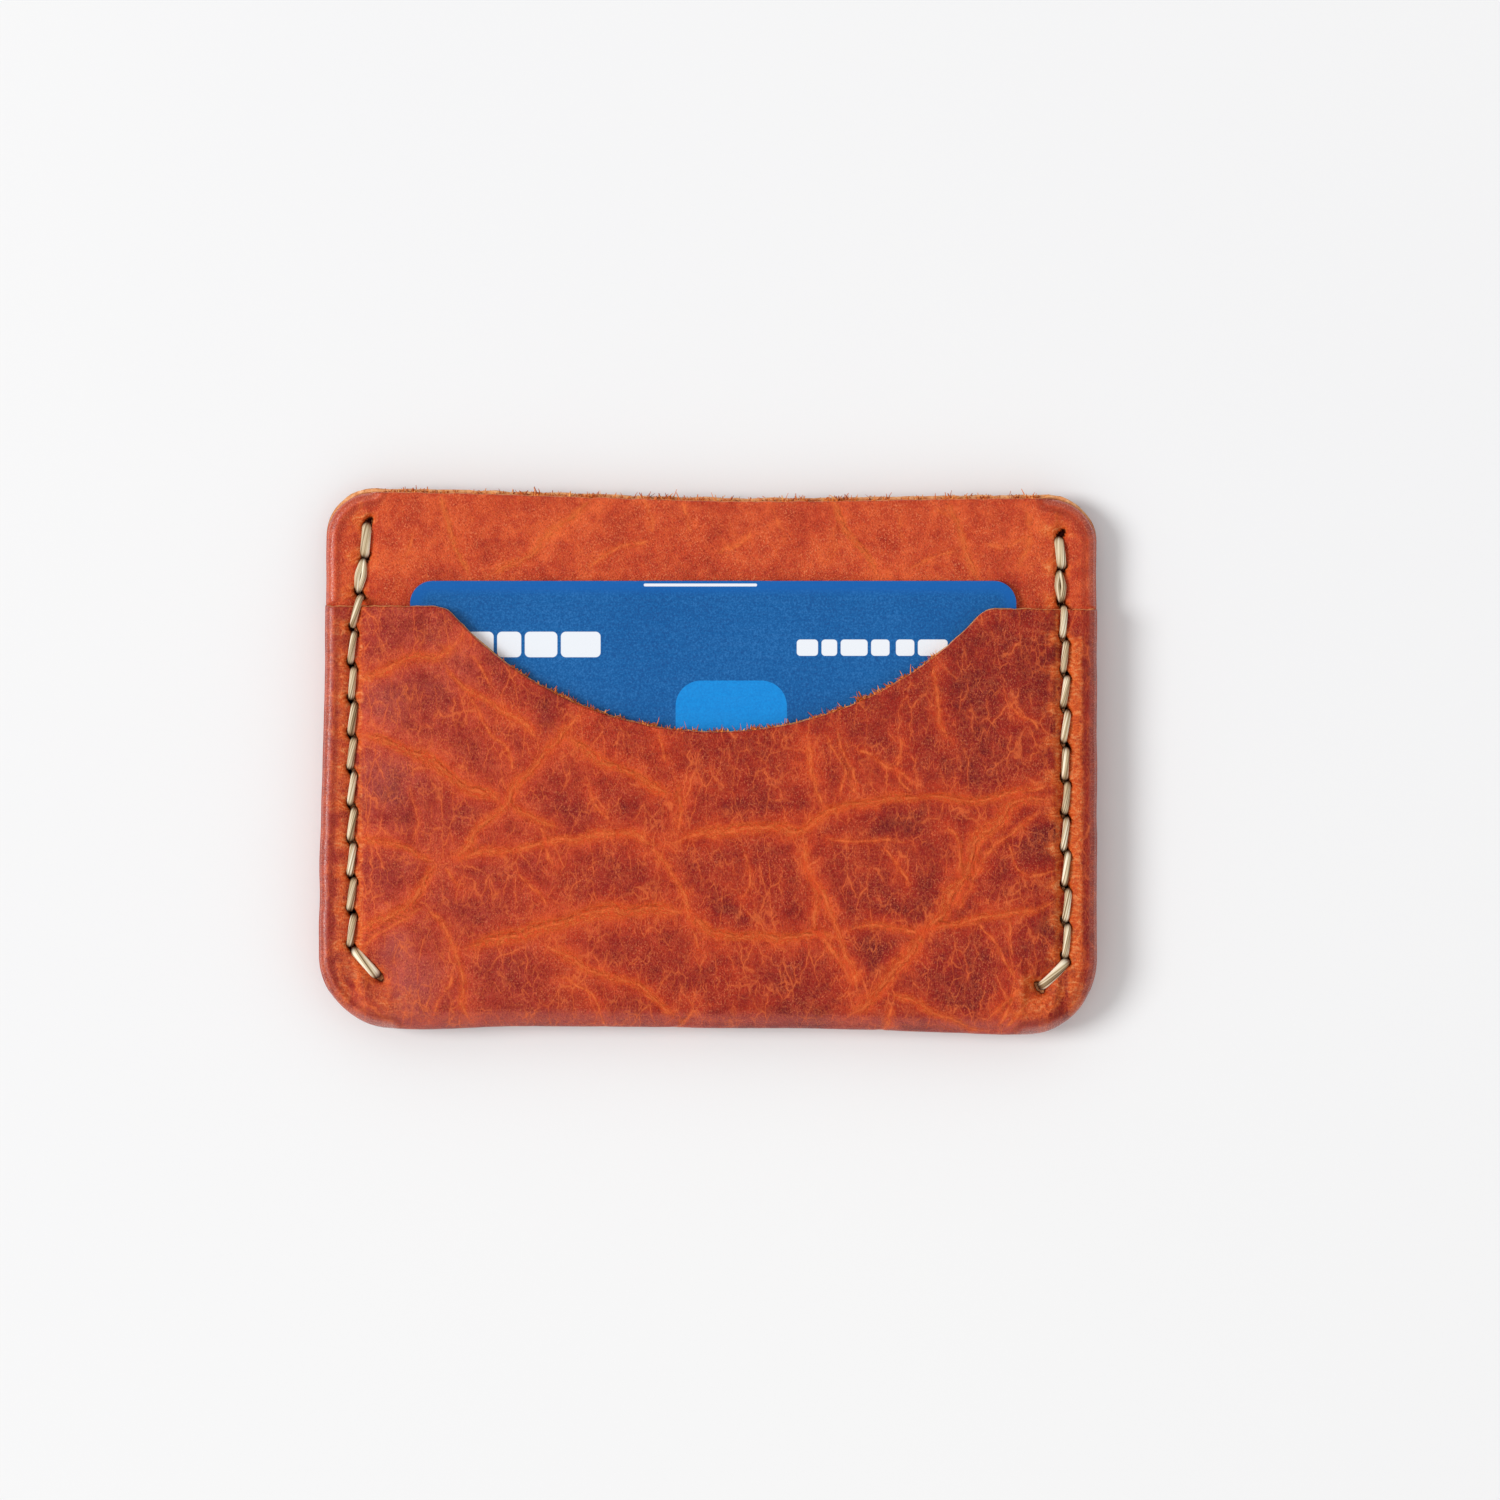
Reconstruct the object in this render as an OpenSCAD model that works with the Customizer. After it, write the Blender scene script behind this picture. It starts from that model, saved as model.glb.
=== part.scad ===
// Leather card holder: one wrap folded at the bottom makes a front and a rear pocket, two tall
// panels stand inside it, two saddle-stitched side seams hold the four layers together, and a
// laminated card slides in the front pocket. It lies on its back: +X is its width, +Y runs from
// the fold to the open top edge, and +Z points out of the front. Millimetres.

/* [Leather] */
// Width across the two side seams
holder_w = 109; // [104:0.5:120]
// Height from the bottom fold to the top edge of the tall panels
holder_h = 75.5; // [74:0.5:85]
// Thickness of every leather layer
leather_t = 1.6; // [1.4:0.1:2.0]
// Radius of the two top corners
top_corner_r = 6.5; // [3:0.5:8]
// Radius of the two bottom corners
bottom_corner_r = 10; // [6:0.5:11]

/* [Pockets] */
// Height from the bottom fold to a pocket's shoulders
pocket_h = 59.3; // [57:0.1:59.3]
// Radius of the thumb notch
notch_r = 50; // [42:1:60]
// Depth of the thumb notch below the shoulders
notch_depth = 17.6; // [10:0.2:20]
// Radius that rounds each end of the thumb notch
notch_corner_r = 4; // [2:0.5:5]
// How far the thumb notch and the card sit to the right of the middle
notch_offset = 0.6; // [-1:0.1:1]

/* [Slots] */
// Gap of the front slot, which holds the card
front_gap = 1; // [0.96:0.02:1.3]
// Gap of the centre slot and of the rear slot, which are empty
empty_gap = 0.3; // [0.1:0.1:0.5]
// Width of each slot between the slopes that lead down to the seams
slot_w = 88.4; // [88:0.2:89]

/* [Seams] */
// Distance from the side edge to the line of stitches
seam_inset = 4.1; // [4:0.1:4.6]
// Distance from one stitching hole to the next
stitch_pitch = 5.1; // [5:0.01:5.12]
// Height of the first stitching hole above the bottom fold
first_hole_y = 70.9; // [70.8:0.1:71.2]
// Thickness of the waxed thread
thread_t = 0.7; // [0.6:0.05:0.7]

/* [Card] */
// Width of the card, a standard bank card
card_w = 85.6; // [85.4:0.1:85.8]
// Height of the card
card_h = 53.98; // [53.9:0.02:54.1]
// Thickness of the whole card
card_t = 0.76; // [0.7:0.02:0.8]
// Radius of the card's corners
card_corner_r = 3.18; // [2.9:0.02:3.4]
// Height of the card's lower edge above the bottom fold
card_y = 9.2; // [8:0.1:12]

/* [Hidden] */
$fn = 96;
past = 1; // how far a cutter runs past the face it cuts

// Height of each layer's lower face, at the seams and between them.
rear_panel_seam_z = leather_t;
front_panel_seam_z = 2 * leather_t;
pocket_seam_z = 3 * leather_t;
seam_top_z = 4 * leather_t;
rear_panel_z = rear_panel_seam_z + empty_gap;
front_panel_z = front_panel_seam_z + 2 * empty_gap;
pocket_z = pocket_seam_z + 2 * empty_gap + front_gap;
top_z = pocket_z + leather_t;
fold_r = top_z / 2; // outer radius of the bottom fold
panel_foot_y = fold_r + 0.6; // lower edge of the tall panels, just above the fold
slope_w = 2; // width of the slope from a slot down to the seam
edge_x = holder_w / 2;

// Seams. Every slit holds two strands, one at each end of it.
straight_stitches = 12;
holes = straight_stitches + 2;
corner_stitch = [3.7, -4]; // the last stitch turns inwards, away from the side edge
slit_l = 2.4;
slit_w = 1.15;
slit_angle = -45;
strand_r = 0.45;
stitch_w = 1.1;
groove_w = 2.4;
groove_end = 0.7; // how far the groove runs past the last hole
strand_step = 0.6 * [cos(slit_angle), sin(slit_angle)]; // from a slit's middle to its lower strand
over_panel_stitches = 2; // stitches above the pocket's shoulder, on the tall panels
front_low_z = pocket_seam_z - thread_t;
front_high_z = seam_top_z - thread_t;
back_high_z = rear_panel_seam_z;

function hole(side, i) = i < holes - 1
    ? [side * (edge_x - seam_inset), first_hole_y - i * stitch_pitch]
    : hole(side, holes - 2) + [-side * corner_stitch[0], corner_stitch[1]];
function lower_strand(side, i) = hole(side, i) + strand_step;
function upper_strand(side, i) = hole(side, i) - strand_step;

// Card. Its parts are laid out from its own lower left corner and its back face.
card_x = notch_offset - card_w / 2;
card_z = front_panel_z + leather_t + (front_gap - card_t) / 2;
sheet_t = 0.08;
chip_size = [13, 11.8];
chip_corner = [8.56, 24.2]; // lower left corner of the contact plate
chip_plate_t = 0.16;
chip_body_size = [8, 8];
chip_body_t = 0.36;
stripe_h = 12.7;
stripe_y = 37.2; // lower edge of the magnetic stripe
stripe_t = 0.04;
signature_size = [60, 7];
signature_corner = [5, 27];

// The library frame: the middle of the holder is at x = 0, y = 0, and its back lies at z = 0.
module in_frame() {
    translate([0, -holder_h / 2, 0]) children();
}

// What is left of a square corner outside a quarter circle, with the corner at the origin.
module corner_waste(r) {
    difference() {
        translate([-past, -past]) square(r + past);
        translate([r, r]) circle(r);
    }
}

// Outline of the whole holder, seen from the front.
module outline() {
    difference() {
        translate([-edge_x, 0]) square([holder_w, holder_h]);
        for (side = [0, 1]) mirror([side, 0]) {
            translate([-edge_x, 0]) corner_waste(bottom_corner_r);
            translate([-edge_x, holder_h]) mirror([0, 1]) corner_waste(top_corner_r);
        }
    }
}

// Thumb notch: an arc whose two ends are rounded into the pocket's straight shoulders.
module thumb_notch() {
    arc_y = pocket_h - notch_depth + notch_r;
    corner_y = pocket_h - notch_corner_r;
    corner_x = sqrt(pow(notch_r + notch_corner_r, 2) - pow(arc_y - corner_y, 2));
    share = notch_r / (notch_r + notch_corner_r);
    translate([notch_offset, 0]) {
        translate([0, arc_y]) circle(notch_r);
        for (side = [0, 1]) mirror([side, 0]) difference() {
            polygon([[corner_x, corner_y],
                     [corner_x, pocket_h + past],
                     [0, pocket_h + past],
                     [0, corner_y],
                     [corner_x * share, arc_y + (corner_y - arc_y) * share]]);
            translate([corner_x, corner_y]) circle(notch_corner_r);
        }
    }
}

// One side's stitching slits, cut through every layer.
module slits(side) {
    for (i = [0 : holes - 1])
        translate(hole(side, i)) rotate(slit_angle) square([slit_l, slit_w], center = true);
}

// The sunken line in which one side's stitches lie.
module groove(side) {
    straight = straight_stitches * stitch_pitch;
    last = hole(side, holes - 2);
    translate([last[0] - groove_w / 2, last[1] - groove_w / 2]) square([groove_w, straight + groove_w]);
    translate(last) rotate(atan2(corner_stitch[1], -side * corner_stitch[0]))
        translate([0, -groove_w / 2]) square([norm(corner_stitch) + groove_end, groove_w]);
}

// Everything between two heights that is proud at the slots and low at the seams: a low face at
// low_seam_z that rises to low_z over the slots, and a high face that does the same.
module layer(low_seam_z, low_z, high_seam_z, high_z) {
    flat = slot_w / 2;
    foot = flat + slope_w;
    rim = edge_x + past;
    translate([0, holder_h + past, 0]) rotate([90, 0, 0]) linear_extrude(holder_h + 2 * past)
        polygon([[-rim, low_seam_z], [-foot, low_seam_z], [-flat, low_z],
                 [flat, low_z], [foot, low_seam_z], [rim, low_seam_z],
                 [rim, high_seam_z], [foot, high_seam_z], [flat, high_z],
                 [-flat, high_z], [-foot, high_seam_z], [-rim, high_seam_z]]);
}

// A bar along X with the section of a folded sheet's inside or outside face.
module fold_bar(r) {
    translate([-edge_x - past, 0, 0]) rotate([90, 0, 90]) linear_extrude(holder_w + 2 * past)
        translate([fold_r, fold_r]) {
            circle(r);
            translate([0, -r]) square([holder_h + past, 2 * r]);
        }
}

// Space for both seams' threads: the slits through every layer, and the grooves that sink the
// stitches on the front, from front_z up, and on the back, up to back_z.
module seam_space(front_z, back_z) {
    for (side = [-1, 1]) {
        translate([0, 0, -past]) linear_extrude(top_z + 2 * past) slits(side);
        translate([0, 0, front_z]) linear_extrude(top_z) groove(side);
        translate([0, 0, -past]) linear_extrude(back_z + past) groove(side);
    }
}

// The wrap: front pocket, bottom fold and rear pocket in one piece of leather.
module outer_wrap() {
    color([0.72, 0.25, 0.12]) in_frame() difference() {
        intersection() {
            layer(0, 0, seam_top_z, top_z);
            fold_bar(fold_r);
            translate([0, 0, -past]) linear_extrude(top_z + 2 * past) outline();
        }
        intersection() {
            layer(leather_t, leather_t, pocket_seam_z, pocket_z);
            fold_bar(fold_r - leather_t);
        }
        translate([-edge_x - past, pocket_h, -past])
            cube([holder_w + 2 * past, holder_h, top_z + 2 * past]);
        translate([0, 0, -past]) linear_extrude(top_z + 2 * past) thumb_notch();
        seam_space(front_high_z, thread_t);
    }
}

// A tall panel, from just above the fold to the top edge. Only what shows above the pockets is
// grooved for the stitches.
module tall_panel(seam_z, slot_z, front_z, back_z) {
    difference() {
        intersection() {
            layer(seam_z, slot_z, seam_z + leather_t, slot_z + leather_t);
            translate([0, 0, -past]) linear_extrude(top_z + 2 * past) intersection() {
                outline();
                translate([-edge_x, panel_foot_y]) square([holder_w, holder_h]);
            }
        }
        for (side = [-1, 1]) translate([0, 0, -past]) linear_extrude(top_z + 2 * past) slits(side);
        intersection() {
            translate([-edge_x, pocket_h, -past]) cube([holder_w, holder_h, top_z + 2 * past]);
            seam_space(front_z, back_z);
        }
    }
}

module front_panel() {
    color([0.75, 0.29, 0.14]) in_frame()
        tall_panel(front_panel_seam_z, front_panel_z, front_low_z, 0);
}

module rear_panel() {
    color([0.70, 0.27, 0.13]) in_frame()
        tall_panel(rear_panel_seam_z, rear_panel_z, top_z, back_high_z + thread_t);
}

// One stitch from strand a to strand b, lying at height z.
module stitch(a, b, z) {
    run = b - a;
    translate([a[0], a[1], z]) linear_extrude(thread_t) rotate(atan2(run[1], run[0])) {
        translate([0, -stitch_w / 2]) square([norm(run), stitch_w]);
        circle(d = stitch_w);
        translate([norm(run), 0]) circle(d = stitch_w);
    }
}

// A strand going through the layers at point p.
module strand(p, low_z, high_z) {
    translate([p[0], p[1], low_z]) cylinder(h = high_z - low_z, r = strand_r);
}

// One seam's thread: a stitch on each face between every two holes, crossing in the holes.
module seam_thread(side) {
    color([0.72, 0.66, 0.47]) in_frame() {
        for (i = [0 : holes - 2]) {
            on_panel = i < over_panel_stitches;
            back_start = i == 0 ? lower_strand(side, 0) : upper_strand(side, i);
            stitch(lower_strand(side, i), upper_strand(side, i + 1), on_panel ? front_low_z : front_high_z);
            stitch(back_start, lower_strand(side, i + 1), on_panel ? back_high_z : 0);
        }
        for (i = [0 : holes - 1]) {
            front_in_z = i <= over_panel_stitches ? pocket_seam_z : seam_top_z;
            front_out_z = i < over_panel_stitches ? pocket_seam_z : seam_top_z;
            back_in_z = i < over_panel_stitches ? back_high_z : 0;
            back_out_z = i <= over_panel_stitches ? back_high_z : 0;
            strand(lower_strand(side, i), back_out_z, front_out_z);
            if (i > 0) strand(upper_strand(side, i), back_in_z, front_in_z);
        }
    }
}

module left_seam_thread() { seam_thread(-1); }
module right_seam_thread() { seam_thread(1); }

// Moves a piece of the card from the card's own corner to its place in the front slot.
module in_slot() {
    in_frame() translate([card_x, card_y, card_z]) children();
}

module card_outline() {
    difference() {
        square([card_w, card_h]);
        for (right = [0, 1], top = [0, 1])
            translate([right * card_w, top * card_h]) mirror([right, 0]) mirror([0, top])
                corner_waste(card_corner_r);
    }
}

module chip_recess(size, corner) {
    translate([corner[0], corner[1], card_t - chip_plate_t]) cube([size[0], size[1], chip_plate_t + past]);
}

module chip_body_space() {
    inset = (chip_size - chip_body_size) / 2;
    translate([chip_corner[0] + inset[0], chip_corner[1] + inset[1], card_t - chip_plate_t - chip_body_t])
        cube([chip_body_size[0], chip_body_size[1], chip_body_t]);
}

// White core of the card, milled out for the chip.
module card_core() {
    color([0.93, 0.94, 0.95]) in_slot() difference() {
        translate([0, 0, sheet_t]) linear_extrude(card_t - 2 * sheet_t) card_outline();
        chip_recess(chip_size, chip_corner);
        chip_body_space();
    }
}

// Printed front sheet, with the window for the chip's contacts.
module card_front_sheet() {
    color([0.06, 0.27, 0.56]) in_slot() difference() {
        translate([0, 0, card_t - sheet_t]) linear_extrude(sheet_t) card_outline();
        chip_recess(chip_size, chip_corner);
    }
}

// Back sheet, with shallow recesses for the stripe and the signature panel.
module card_back_sheet() {
    color([0.08, 0.24, 0.50]) in_slot() difference() {
        linear_extrude(sheet_t) card_outline();
        translate([-past, stripe_y, -past]) cube([card_w + 2 * past, stripe_h, stripe_t + past]);
        translate([signature_corner[0], signature_corner[1], -past])
            cube([signature_size[0], signature_size[1], stripe_t + past]);
    }
}

// Chip module: the contact plate and the moulded body under it.
module card_chip_module() {
    color([0.83, 0.68, 0.36]) in_slot() {
        translate([chip_corner[0], chip_corner[1], card_t - chip_plate_t])
            cube([chip_size[0], chip_size[1], chip_plate_t]);
        chip_body_space();
    }
}

module card_magnetic_stripe() {
    color([0.09, 0.08, 0.08]) in_slot()
        translate([0, stripe_y, 0]) cube([card_w, stripe_h, stripe_t]);
}

module card_signature_panel() {
    color([0.90, 0.90, 0.86]) in_slot() translate([signature_corner[0], signature_corner[1], 0])
        cube([signature_size[0], signature_size[1], stripe_t]);
}

outer_wrap();
front_panel();
rear_panel();
left_seam_thread();
right_seam_thread();
card_core();
card_front_sheet();
card_back_sheet();
card_chip_module();
card_magnetic_stripe();
card_signature_panel();
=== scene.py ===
"""Looks of the leather card holder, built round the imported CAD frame.

Distances are in millimetres until a mesh is made, in the frame of the CAD part: x across the width,
y from the bottom fold to the open top edge, z out of the front. The leather layers and the threads
are soft, so each CAD solid is replaced by a detailed mesh in the same place; the card is rigid and
keeps its CAD solids, with its own materials.
"""

import math

import bpy
import numpy as np
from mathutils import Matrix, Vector

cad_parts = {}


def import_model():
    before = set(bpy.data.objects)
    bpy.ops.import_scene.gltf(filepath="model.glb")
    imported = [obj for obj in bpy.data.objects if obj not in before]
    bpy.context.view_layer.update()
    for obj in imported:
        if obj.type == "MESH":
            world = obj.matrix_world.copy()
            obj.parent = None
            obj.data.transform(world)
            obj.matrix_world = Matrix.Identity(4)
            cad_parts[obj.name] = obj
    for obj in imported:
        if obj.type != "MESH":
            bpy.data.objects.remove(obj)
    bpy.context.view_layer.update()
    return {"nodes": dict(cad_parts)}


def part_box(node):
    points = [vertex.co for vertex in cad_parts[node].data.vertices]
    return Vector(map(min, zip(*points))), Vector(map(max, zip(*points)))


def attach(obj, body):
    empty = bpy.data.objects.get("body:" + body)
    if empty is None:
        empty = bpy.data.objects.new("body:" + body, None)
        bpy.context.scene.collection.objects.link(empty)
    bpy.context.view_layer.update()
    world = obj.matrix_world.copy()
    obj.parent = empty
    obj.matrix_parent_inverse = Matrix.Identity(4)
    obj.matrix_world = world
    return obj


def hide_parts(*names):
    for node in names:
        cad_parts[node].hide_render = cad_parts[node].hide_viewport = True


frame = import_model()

MM = 0.001


def box_mm(node):
    """Lowest and highest corner of a CAD node, in millimetres."""
    low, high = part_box(node)
    return np.array(low) / MM, np.array(high) / MM


# ---------------------------------------------------------------- sizes taken from the frame

WRAP_LOW, WRAP_HIGH = box_mm("outer_wrap")
PANEL_LOW, PANEL_HIGH = box_mm("front_panel")
REAR_LOW = box_mm("rear_panel")[0]
CARD_LOW, CARD_HIGH = box_mm("card_core")
CHIP_LOW, CHIP_HIGH = box_mm("card_chip_module")
CARD_BACK_Z = box_mm("card_back_sheet")[0][2]
CARD_FRONT_Z = box_mm("card_front_sheet")[1][2]

HALF_W = WRAP_HIGH[0]  # from the middle to a side edge
FOLD_Y = WRAP_LOW[1]  # the bottom fold
HOLDER_H = PANEL_HIGH[1] - FOLD_Y  # from the fold to the top edge
POCKET_H = WRAP_HIGH[1] - FOLD_Y  # from the fold to the pockets' shoulders
MIDDLE_Z = WRAP_HIGH[2]  # height of the filled front pocket
LEATHER = REAR_LOW[2]  # thickness of one layer
PANEL_FOOT = PANEL_LOW[1] - FOLD_Y

BOTTOM_R = 10.0  # corners of the outline
TOP_R = 6.5
FOLD_DEPTH = 3.4  # how far the rolled fold reaches up from the bottom edge
NOTCH_X, NOTCH_R, NOTCH_DEPTH, NOTCH_CORNER_R = 0.9, 50.0, 17.5, 3.5

# Lower face of each layer at the seams and between them, from the back to the front.
SEAM_LIFT = 0.3  # the pinched seams stay clear of the table
SEAM_T = 1.55  # a layer pressed in the seam
EMPTY_GAP = 0.3
LAYER_Z = {
    "rear_pocket": (SEAM_LIFT, 0.0),
    "rear_panel": (SEAM_LIFT + SEAM_T, REAR_LOW[2] + EMPTY_GAP),
    "front_panel": (SEAM_LIFT + 2 * SEAM_T, REAR_LOW[2] + LEATHER + 2 * EMPTY_GAP),
    "front_pocket": (SEAM_LIFT + 3 * SEAM_T, MIDDLE_Z - LEATHER),
}

# Stitching holes: the top ones drift inwards, and the last stitch turns into the corner.
SEAM_INSET = 4.1
STITCH_PITCH = 5.0
FIRST_HOLE = {-1: HOLDER_H - 4.4, 1: HOLDER_H - 5.4}  # height above the fold
TOP_DRIFT = {-1: (2.1, 1.7, 1.0, 0.2), 1: (0.6, 0.5, 0.4, 0.2)}
STRAIGHT_HOLES = 13
CORNER_STEP = (3.7, -4.0)
SLIT_TURNS = (55, 55, -50)  # slant of the first slits in degrees; the last one goes on down the seam
STRAND_STEP = 0.42  # from a slit's middle to each of its two strands
STITCHES_ON_PANEL = 2

TILT = 0.0088  # the holder lies half a degree off the frame's axes

# ---------------------------------------------------------------- the leather's creases

# The main creases, each with its width, its strength and its course in millimetres.
POCKET_CREASES = [
    # the left third, from the shoulder down
    (1.4, 0.8, [(-49, 11), (-44, 13.5), (-38, 15), (-35, 17)]),
    (1.3, 1.0, [(-49, 4), (-44, 2), (-38, -1), (-33, -4), (-29, -6)]),
    (1.1, 0.9, [(-18, 7), (-21, 3), (-25, -1), (-28, -5), (-31, -8), (-34, -12), (-38, -14)]),
    (1.2, 0.9, [(-38, -14), (-41, -19), (-45, -22), (-50, -25)]),
    (0.7, 0.6, [(-40, -20), (-44, -23), (-50, -27)]),
    (1.1, 0.8, [(-50, -11), (-45, -12), (-38, -14)]),
    (1.1, 0.8, [(-28, -6), (-25, -8), (-21, -10)]),
    (0.8, 0.8, [(-37, 14), (-35, 11), (-31, 8), (-27, 6), (-24, 3)]),
    (0.5, 0.6, [(-34, 10), (-31, 4), (-29, 2), (-27, -2)]),
    (0.5, 0.5, [(-34, 15), (-31, 10)]),
    (0.5, 0.6, [(-24, -9), (-23, -13), (-22, -15)]),
    (1.3, 0.4, [(-42, -3), (-41, -8), (-42, -12)]),
    (0.5, 0.7, [(-37, -15), (-35, -18)]),
    (0.6, 0.5, [(-27, -16), (-24, -19), (-23, -21)]),
    (0.8, 0.7, [(-40, -20), (-37, -24), (-35, -28), (-35, -33), (-33, -37)]),
    (0.7, 0.5, [(-36, -29), (-38, -33), (-39, -37)]),
    # the middle
    (1.0, 0.8, [(-38, -14), (-33, -13), (-25, -12), (-20, -11), (-12, -10.5), (-6, -12)]),
    (1.2, 0.9, [(-20, 3), (-17, 1), (-13, -1), (-9, -3), (-5, -5)]),
    (0.5, 0.8, [(-4, -3), (-4, -10)]),
    (0.5, 0.5, [(-8, 4), (-6, 0)]),
    (0.5, 0.5, [(-17, -3), (-16, -6), (-14, -9)]),
    (1.5, 1.2, [(-35, -27), (-31, -25.5), (-25, -24), (-18, -22), (-10, -21), (-3, -21.5)]),
    (1.2, 0.8, [(-23, -26), (-18, -29), (-12, -31), (-7, -34), (-4, -37)]),
    (0.7, 0.8, [(-8, -12), (-6, -15), (-4, -19), (-2, -24)]),
    (0.5, 0.5, [(-3, -22), (-1, -27)]),
    (1.2, 1.0, [(-3, -21.5), (2, -24.5), (9, -25), (15, -24.5), (18, -25)]),
    (0.5, 0.5, [(5, -12), (6, -17), (5, -20)]),
    # the right third
    (1.3, 0.9, [(-6, -12), (0, -10), (8, -9.5), (13, -9.5), (17, -7), (22, -6), (30, -5), (42, -5),
                (50, -2)]),
    (0.8, 0.5, [(16, -11), (22, -11), (28, -11)]),
    (1.7, 0.9, [(49, -5), (43, -6), (38, -11), (36, -16), (32, -22), (28, -27), (24, -32), (19, -37)]),
    (1.1, 0.6, [(47, -7), (40, -12), (37, -17), (34, -22)]),
    (0.8, 0.8, [(14, -10), (14, -14), (16, -19), (18, -24), (20, -29), (21, -33)]),
    (0.8, 0.7, [(13, -13), (15, -18), (15, -24), (19, -28), (20, -32)]),
    (1.1, 0.8, [(19, -24), (24, -23), (29, -24), (33, -23), (38, -22), (44, -21), (50, -19)]),
    (1.2, 0.8, [(25, -32.5), (30, -34), (36, -37), (40, -38)]),
    (0.5, 0.8, [(14, 3), (15, -3), (16, -7)]),
    (0.5, 0.6, [(18, 5), (20, -1), (21, -5)]),
    (0.5, 0.6, [(16, 4), (19, -1), (19, -5)]),
    (0.8, 0.6, [(32, 14), (32, 9), (33, 5), (34, 2)]),
    (0.5, 0.5, [(27, 4), (27, -2), (30, -5)]),
    (0.8, 0.5, [(21, 2), (26, -1), (29, -3)]),
    (0.6, 0.7, [(33, -9), (35, -12), (35, -17)]),
    (0.5, 0.6, [(25, -12), (28, -18)]),
    (0.7, 0.5, [(42, -11), (45, -16), (50, -15)]),
    (0.5, 0.6, [(38, -22), (41, -26), (43, -30)]),
    (0.5, 0.5, [(42, -22), (43, -27)]),
    (0.5, 0.5, [(42, 9), (46, 4)]),
    # the fan of wrinkles at the last stitch
    (0.5, 0.9, [(41, -37), (43, -32)]),
    (0.5, 0.9, [(42, -37), (45, -33)]),
    (0.5, 0.8, [(40, -35), (44, -31)]),
]

PANEL_CREASES = [
    (0.6, 1.0, [(-38, 37), (-36, 31), (-34, 26)]),
    (1.0, 0.8, [(-16, 37), (-21, 33), (-26, 29), (-31, 26)]),
    (0.8, 0.6, [(-17, 27), (-13, 30), (-8, 31)]),
    (0.8, 0.6, [(1, 29), (4, 31), (6, 33)]),
    (0.7, 1.3, [(17, 37), (21, 31), (24, 26)]),
    (0.6, 0.5, [(16, 28), (18, 30), (18, 34)]),
    (1.2, 0.8, [(34, 37), (36, 31), (38, 26)]),
    (0.6, 0.6, [(32, 36), (35, 33)]),
    (0.8, 0.5, [(28, 27), (31, 29), (36, 30)]),
    (0.8, 0.6, [(45, 36), (45, 31), (44, 27)]),
    (0.7, 0.5, [(39, 31), (43, 31), (46, 34)]),
    (0.5, 0.5, [(-9, 37), (-8, 32)]),
    (0.5, 0.5, [(-4, 37), (-2, 32)]),
    (0.5, 0.4, [(9, 36), (11, 31)]),
    (0.5, 0.4, [(27, 37), (27, 31)]),
    (0.6, 0.5, [(-42, 32), (-43, 27)]),
]

# Soft dark spots of the front, and pale spots of painted sheen: middle, radius and strength.
DARK_SPOTS = [
    (-34, -9, 3, 0.9), (-45, -5, 3, 0.7), (-19, -8, 3, 0.9), (-33, -22, 3, 0.7), (-10, -18, 3, 0.7),
    (-8, -29, 3, 0.7), (-4, -35, 4, 0.8), (6, -7, 5, 0.8), (25, -8, 4, 0.9), (46, -11, 4, 1.1),
    (30, -20, 4, 0.9), (20, -20, 3, 0.8), (3, -22, 3, 0.8), (12, -22, 3, 0.7), (24, -27, 4, 1.0),
    (31, -31, 3, 0.7), (43, -28, 3, 0.7), (48, -22, 3, 0.8), (12, -37, 5, 0.9), (-38, 10, 4, 0.6),
    (-23, 7, 3, 1.0), (44, 14, 5, 0.7), (34, 11, 4, 0.5), (39, 5, 5, 0.6), (-41, -16, 1, 0.9),
]
PAINTED_SHEEN_SPOTS = [
    (-42, -32, 4, 0.9), (-44, -26, 2, 0.8), (-46, -2, 5, 0.4), (-46, 8, 4, 0.4), (-36, 14, 5, 0.3),
]
# Leather that is stretched, and so orange, round the corners and beside the seams.
STRETCHED_SPOTS = [
    (-50, -29, 4, 0.7), (-45, -35, 4, 0.6), (46, -34, 4, 0.7), (50, -29, 3, 0.6), (49, -4, 3, 0.5),
    (-49, 12, 3, 0.5), (48, 12, 3, 0.4), (-50, 24, 4, 0.5), (50, 28, 4, 0.4),
]

# ---------------------------------------------------------------- small helpers


def mix(a, b, t):
    """a where t is 0 and b where t is 1."""
    return a + (b - a) * t


def smooth(low, high, value):
    """0 below low, 1 above high and a smooth step between them."""
    t = np.clip((value - low) / (high - low), 0.0, 1.0)
    return t * t * (3.0 - 2.0 * t)


def hump(distance, width):
    """1 at distance 0, falling away over the given width."""
    return np.exp(-((distance / width) ** 2))


def field(x, y, wavelength, seed, waves=20):
    """A smooth random field of about -1 to 1, with features of the given wavelength."""
    rng = np.random.default_rng(seed)
    heading = rng.uniform(0, 2 * math.pi, waves)
    rate = 2 * math.pi / (wavelength * rng.uniform(0.7, 1.5, waves))
    phase = rng.uniform(0, 2 * math.pi, waves)
    total = np.zeros(np.broadcast(x, y).shape)
    for h, k, p in zip(heading, rate, phase):
        total += np.cos(k * (math.cos(h) * x + math.sin(h) * y) + p)
    return total * 0.5 / math.sqrt(waves / 2)


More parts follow.
